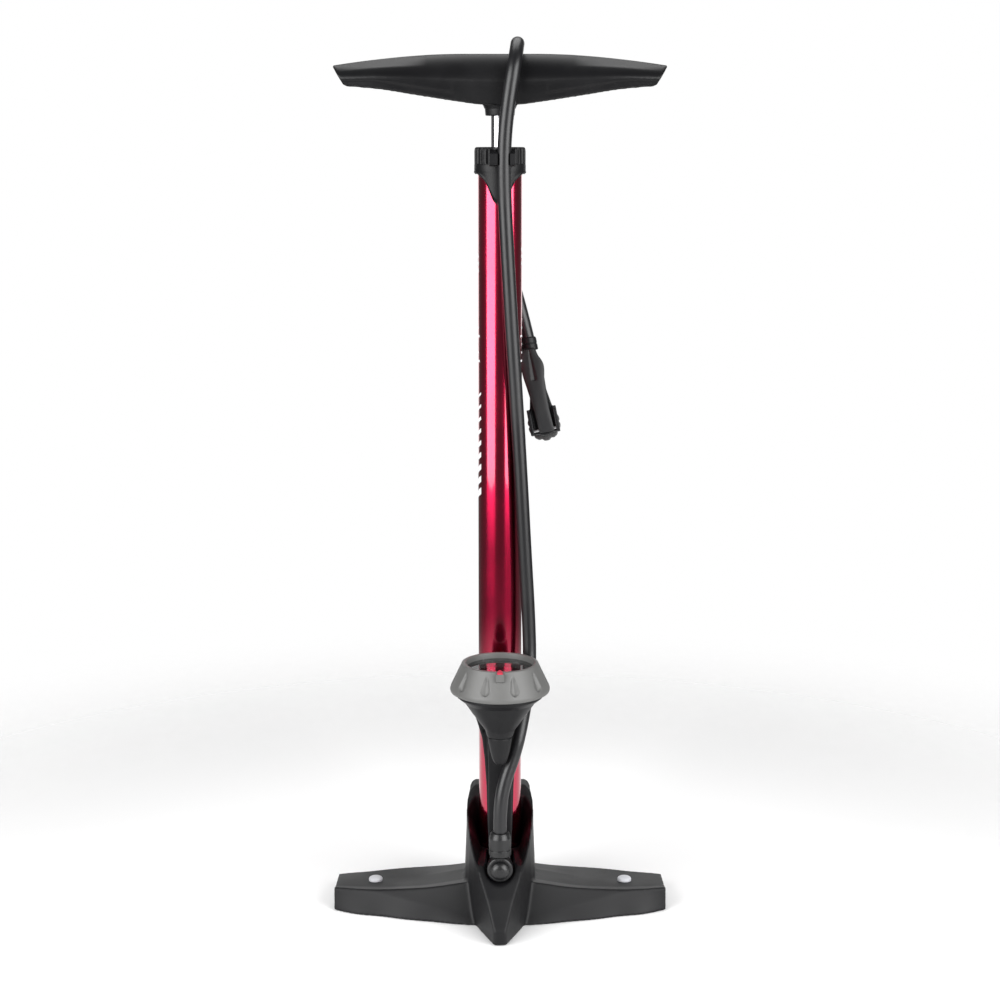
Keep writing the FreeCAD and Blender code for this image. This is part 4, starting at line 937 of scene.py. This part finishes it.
def dimpled(angle, radius, height):
    """Radius of the bezel. On the outer cone it is lowered by 1.8 (1 - s^2)^1.4, weaker upwards, where
    s is the distance round from the nearest dimple's middle over its half width, a teardrop in height."""
    run = 2 * math.pi / dimples
    off = (angle + math.pi / 2) % run - run / 2
    t = (height - bezel_bottom - 5.2) / 13.4
    rounded = np.sqrt((1 - ((0.25 - t) / 0.25) ** 2).clip(0))
    tapered = 1 - 0.72 * ((t - 0.25) / 0.75).clip(0, 1)
    half_width = 3.9 * np.where(t < 0.25, rounded, tapered)
    s = off * radius / half_width.clip(1e-3)
    bump = (1 - s**2).clip(0) ** 1.4 * ((1 - t) / 0.3).clip(0, 1) * (1 - 0.4 * t.clip(0, 1))
    bump = bump * (half_width > 0.02)
    cone = bezel_r + (height - shoulder_z) / (bezel_top - shoulder_z) * (shoulder_r - bezel_r)
    return radius - 1.8 * bump * (np.abs(radius - cone) < 0.4)


rise = np.linspace(0, 1, 46)[1:-1]
cone = [(bezel_r + (shoulder_r - bezel_r) * t, shoulder_z + (bezel_top - shoulder_z) * t) for t in rise]
skin = [
    (bezel_r - 1.2, bezel_bottom), (bezel_r - 0.3, bezel_bottom + 0.5), (bezel_r, bezel_bottom + 1.4),
    (bezel_r, shoulder_z - 0.4),
]
lip = [
    (shoulder_r - 0.5, bezel_top - 0.12), (shoulder_r - 1.1, bezel_top), (opening_r + 0.9, bezel_top),
    (opening_r + 0.2, bezel_top - 0.3), (opening_r, bezel_top - 1.1),
]
back = [(opening_r, 195.2), (29.3, 195.2), (29.3, bezel_bottom)]
ring = at_gauge(turned(skin + cone + lip + back, 720, swell=dimpled))
tab_in, tab_out = opening_r + 0.6, bezel_r - 4.4
tab_side = [(tab_in, bezel_top - 0.4), (tab_in, 199), (30.4, 198.6), (tab_out, 199.4), (tab_out, bezel_top - 0.6)]
tab_side = softened([(gauge_y - r, z) for r, z in tab_side], 0.5)
tab = prism(tab_side, -2.9, 2.9, 0)
dress(piece("grip_bezel", ring, tab), "bezel_ring")
root = 4.8 - bezel_r
pointer = [(-1.9, root), (1.9, root), (1.9, -opening_r), (0, 3.4 - opening_r), (-1.9, -opening_r)]
pointer = prism(softened([(x, gauge_y + y) for x, y in pointer], 0.3), bezel_top - 2.4, bezel_top - 0.1, 2)
dress(piece("red_pointer", pointer), "bezel_marker")
print("bezel:", dimples, "dimples, top at", round(bezel_top, 1))

# %% [markdown]
# The dial is a pale metal disc. Its marks are thin shapes laid a tenth of a millimetre above it, so
# they stay sharp at any size. The scale sweeps three quarters of a turn from the lower left, and plain
# numbers stand inside the ticks.

# %% Dial
dial_low, dial_high = reach("dial")
dial_top = dial_high[2]
dial_r = dial_high[0]
disc = [(0, dial_low[2]), (dial_r, dial_low[2]), (dial_r, dial_top), (0, dial_top)]
dress(piece("dial_plate", at_gauge(turned(softened(disc, 0.15, closed=False), 128, False))), "dial")
ticks_r, numbers_r, number_size = dial_r - 3.2, 15.2, 4.6
scale_start, scale_sweep, scale_steps = math.radians(225), math.radians(-270), 60
marks = []
for n in range(scale_steps + 1):
    length, width = (4.2, 0.75) if n % 10 == 0 else (2.8, 0.45) if n % 5 == 0 else (1.8, 0.25)
    tick = box((ticks_r - length, -width / 2, dial_top + 0.02), (ticks_r, width / 2, dial_top + 0.12))
    marks.append(at_gauge(tick, Matrix.Rotation(scale_start + scale_sweep * n / scale_steps, 4, "Z")))
ink = finish("dial_ink", (0.02, 0.02, 0.02), (0.03, 0.03, 0.03), 0.4, 0.1, depth=0.003)
add_on(piece("dial_ticks", *marks), "dial", ink)


def number(value, turn):
    """Shell of a number on the dial: the outline of the digits, filled and made a mesh first."""
    text = bpy.data.curves.new("digits", "FONT")
    text.body, text.size, text.extrude = str(value), number_size, 0.04
    text.align_x, text.align_y, text.resolution_u = "CENTER", "CENTER", 3
    holder = bpy.data.objects.new("digits", text)
    bpy.context.scene.collection.objects.link(holder)
    mesh = bpy.data.meshes.new_from_object(holder)
    points = np.zeros(len(mesh.vertices) * 3)
    mesh.vertices.foreach_get("co", points)
    faces = [list(face.vertices) for face in mesh.polygons]
    bpy.data.objects.remove(holder)
    bpy.data.meshes.remove(mesh)
    spot = (numbers_r * math.cos(turn), gauge_y + numbers_r * math.sin(turn), dial_top + 0.07)
    return points.reshape(-1, 3) + spot, faces


numbers = [number(2 * n, scale_start + scale_sweep * n / 6) for n in range(7)]
add_on(piece("dial_numbers", *numbers), "dial", ink)

# %% [markdown]
# ## Hose fitting
# The hose swings on a round swivel body that is held by a domed bolt, and a ferrule clamps the hose's
# end. All are turned: the swivel about an axis along Y, the ferrule about its own upright axis.

# %% Swivel, bolt and ferrule
hose_y = hose_corners[0][1] / mm
ferrule_low, ferrule_high = reach("hose_ferrule")
ferrule_r = ferrule_high[0]
drum = softened([(4.2, elbow_rear), (elbow_r, elbow_rear), (elbow_r, elbow_front), (4.2, elbow_front)], 1.6)
drum = lengthways(drum, swivel_z, 128, True)
neck = [(0, swivel_z + 6), (5.2, swivel_z + 6), (5.2, ferrule_low[2] + 0.4), (0, ferrule_low[2] + 0.4)]
dress(piece("swivel_drum", drum, moved(turned(neck, 64, False), by=(0, hose_y, 0))), "swivel_elbow")
dome = [(0, 0), (7, 0), (7, 1.5), (6.6, 2.8), (5.6, 3.9), (4.0, 4.8), (2.1, 5.3), (0, 5.4)]
bolt_front = elbow_front - 0.1
dome = [(r, bolt_front - d) for r, d in softened(dome, 0.6, closed=False)]
dress(piece("dome_bolt", lengthways(dome, swivel_z)), "swivel_bolt")
f0, f1 = ferrule_low[2], ferrule_high[2]
clamp = [
    (4.9, f0), (ferrule_r - 1.0, f0), (ferrule_r, f0 + 1.2), (ferrule_r, f0 + 5.2), (ferrule_r - 0.5, f0 + 5.5),
    (ferrule_r - 0.5, f0 + 6.1), (ferrule_r, f0 + 6.4), (ferrule_r - 0.2, f1 - 4.2), (ferrule_r - 1.1, f1 - 1.4),
    (ferrule_r - 1.9, f1 - 0.2), (4.9, f1),
]
clamp = moved(turned(softened(clamp, 0.35), 128), by=(0, hose_y, 0))
dress(piece("crimped_ferrule", clamp), "hose_ferrule")

# %% [markdown]
# ## Chuck
# The chuck hangs upside down from the hose's free end. It has a black body with a round head, a
# lever on the near face that clamps the valve, and a grey nut with a dark red rubber insert that is
# pushed onto the valve. It is modelled in its own frame, with the hose's end at the origin, and each
# piece is then turned and moved into place.

# %% Chuck frame
chuck_top = (20.5, 21.0, 432.0)
lean_side, lean_front = math.radians(-11.0), math.radians(-12.5)
hang = Matrix.Translation(chuck_top) @ Matrix.Rotation(lean_side, 4, "Y") @ Matrix.Rotation(lean_front, 4, "X")
head_z = -64.0


def hung(shell):
    """The shell moved from the chuck's own frame to where the chuck hangs."""
    return moved(shell, hang)


def crosswise(profile, sides=96, closed=False, swell=None):
    """Turned shell about the valve's axis, in the chuck's frame; its profile is (radius, y)."""
    return hung(lengthways(profile, head_z, sides, closed, swell))


# %% Chuck body
stem = [
    (-5.4, -8), (-7.4, -12), (-8.6, -24), (-6.6, -44), (-8.6, -54), (-9.4, -64), (-8.2, -72),
    (8.2, -72), (9.4, -64), (8.6, -54), (6.4, -40), (7.0, -22), (3.6, -8),
]
body = piece("clamp_body", hung(prism(softened(stem, 2.5), -6.8, 6.6, 1)))
head = softened([(0, -6.9), (9.5, -6.9), (9.5, 7.4), (0, 7.4)], 1.2, closed=False)
lug_side = softened([(-11.4, -72.4), (-11.4, -56), (-8, -53), (-1, -54), (-1, -72.4)], 1.6)
lugs = [piece("lug", hung(prism(lug_side, low, high, 0))) for low, high in ((-10.9, -8.2), (8.2, 10.9))]
ties = [piece("tie", hung(box((low, -5.5, -71), (high, -1.2, -56)))) for low, high in ((-10.5, -6), (6, 10.5))]
combine(body, [piece("head", crosswise(head)), *lugs, *ties], "UNION")
dress(moulded(body, 0.5, 3), "chuck_body")
collar = [
    (4.6, 0.2), (5.7, 0.2), (6.2, -0.9), (6.2, -4.2), (5.8, -4.6), (5.8, -5.0), (6.2, -5.4), (6.2, -9.2), (4.6, -9.2),
]
dress(piece("clamp_collar", hung(turned(softened(collar, 0.3), 96))), "chuck_collar")


# %% Chuck lever
def lever_shell():
    """Rings down the lever. Its edges follow the outline, and the front face is crowned across and has
    a narrow wedge dug out of its upper part."""
    z = np.linspace(-9.5, -71.5, 90)[:, None]
    left = eased(-z, [9.5, 12, 24, 40, 57, 71.5], [-4.6, -7.4, -8.8, -7.2, -5.3, -4.7])
    right = eased(-z, [9.5, 12, 20.7, 34, 54, 71.5], [2.6, 3.7, 7.6, 6.4, 5.9, 6.9])
    u = np.linspace(0, 1, 33)[None, :]
    across = left * (1 - u) + right * u
    ends = np.sqrt((1 - ((z + 40.5) / 31.2) ** 2).clip(0)) * 0.8 + 0.2
    crown = 1.1 * (1 - (2 * u - 1) ** 4)
    dig_half = 0.35 + 2.2 * ((-z - 10) / 22).clip(0, 1)
    dig = 1.3 * np.clip(1 - np.abs(across + 0.8) / dig_half, 0, 1) * ((-z > 10) & (-z < 33))
    front = -10.4 - crown * ends + dig
    rear = np.full_like(front, -7.5)
    ring_x = np.concatenate([across, across[:, ::-1]], axis=1)
    ring_y = np.concatenate([front, rear], axis=1)
    return bar(np.stack([ring_x, ring_y, np.broadcast_to(z, ring_x.shape)], -1))


dress(moulded(piece("clamp_lever", hung(lever_shell())), 0.4, 3), "chuck_lever")


# %% Chuck nut and insert
def scalloped(angle, radius, height):
    """Ten grip notches round the wide part of the nut."""
    return radius - 1.0 * (radius > 9.5) * (0.5 + 0.5 * np.cos(10 * angle)) ** 3


nut = softened([(6.2, 7.5), (12.2, 7.5), (12.2, 17), (7.9, 17.6), (7.8, 22), (6.2, 22)], 0.7)
dress(piece("grip_nut", crosswise(nut, 240, True, scalloped)), "chuck_nut")
insert = softened([(4.0, 7.6), (6.1, 7.6), (5.9, 21.9), (5.5, 22.2), (5.4, 25.5), (4.0, 25.5)], 0.4)
dress(piece("valve_insert", crosswise(insert, closed=True)), "chuck_insert")

# %% [markdown]
# The whole hose is visible from its ferrule to the chuck, so its length is the length of the line. The
# chuck's pieces, which hang on it, are gathered in one list.

# %% The chuck's pieces
chuck_names = ("clamp_body", "clamp_collar", "clamp_lever", "grip_nut", "valve_insert")
chuck_pieces = [bpy.data.objects[name] for name in chuck_names]
chuck_pieces += [frame["nodes"][name] for name in ("lever_pin", "chuck_plunger")]

# %% [markdown]
# ## Floor and light
# Two large soft lights stand at fifty degrees on either side. A round bright barrel mirrors each as a
# vertical band and stays dark in the middle, which shows that it is a polished cylinder. A weak light
# from above separates the tops of the black parts from their sides. The floor is a pale disc that
# fades out at its rim, and the world is white behind it but lights the pump only weakly, so that the
# black nylon stays black.

# %% Floor
floor_shell = turned([(0, -0.5), (900, -0.5), (900, 0), (0, 0)], 128, False)
floor = piece("studio_floor", floor_shell)
floor_look = bpy.data.materials.new("studio_floor")
floor_look.use_nodes = True
tree = floor_look.node_tree
shader = tree.nodes["Principled BSDF"]
shader.inputs["Base Color"].default_value = (0.92, 0.92, 0.92, 1.0)
shader.inputs["Roughness"].default_value = 0.75
place = tree.nodes.new("ShaderNodeTexCoord")
length = tree.nodes.new("ShaderNodeVectorMath")
length.operation = "LENGTH"
fade = tree.nodes.new("ShaderNodeMapRange")
fade.interpolation_type = "SMOOTHSTEP"
fade.inputs["From Min"].default_value = 0.25
fade.inputs["From Max"].default_value = 0.85
fade.inputs["To Min"].default_value = 1.0
fade.inputs["To Max"].default_value = 0.0
tree.links.new(place.outputs["Object"], length.inputs[0])
tree.links.new(length.outputs["Value"], fade.inputs["Value"])
tree.links.new(fade.outputs["Result"], shader.inputs["Alpha"])
floor.data.materials.append(floor_look)

# %% Lights and world
def soft_light(name, azimuth, distance, height, size, power, target=0.33):
    """Rectangular area light at an azimuth from the front, turned to face the pump at a height."""
    lamp = bpy.data.lights.new(name, "AREA")
    lamp.shape, lamp.size, lamp.size_y, lamp.energy = "RECTANGLE", size[0], size[1], power
    made = bpy.data.objects.new(name, lamp)
    turn = math.radians(azimuth)
    made.location = (distance * math.sin(turn), axis[1] * mm - distance * math.cos(turn), height)
    made.rotation_euler = (Vector((0, axis[1] * mm, target)) - made.location).to_track_quat("-Z", "Y").to_euler()
    bpy.context.scene.collection.objects.link(made)


soft_light("left_softbox", -49, 1.35, 0.70, (1.25, 1.3), 33)
soft_light("right_softbox", 49, 1.35, 0.70, (1.25, 1.3), 33)
soft_light("top_light", 180, 0.5, 1.5, (0.9, 0.9), 6, 0.4)
soft_light("back_panel", 180, 1.6, 0.5, (2.2, 0.9), 7)
world = bpy.data.worlds.new("studio")
bpy.context.scene.world = world
world.use_nodes = True
tree = world.node_tree
tree.nodes.clear()
seen, dim = tree.nodes.new("ShaderNodeBackground"), tree.nodes.new("ShaderNodeBackground")
pick = tree.nodes.new("ShaderNodeMixShader")
seen.inputs["Color"].default_value = (1, 1, 1, 1)
seen.inputs["Strength"].default_value = 1.0
dim.inputs["Color"].default_value = (1, 1, 1, 1)
dim.inputs["Strength"].default_value = 0.12
ray = tree.nodes.new("ShaderNodeLightPath")
tree.links.new(ray.outputs["Is Camera Ray"], pick.inputs[0])
tree.links.new(dim.outputs[0], pick.inputs[1])
tree.links.new(seen.outputs[0], pick.inputs[2])
tree.links.new(pick.outputs[0], tree.nodes.new("ShaderNodeOutputWorld").inputs["Surface"])
bpy.context.scene.view_settings.view_transform = "Standard"
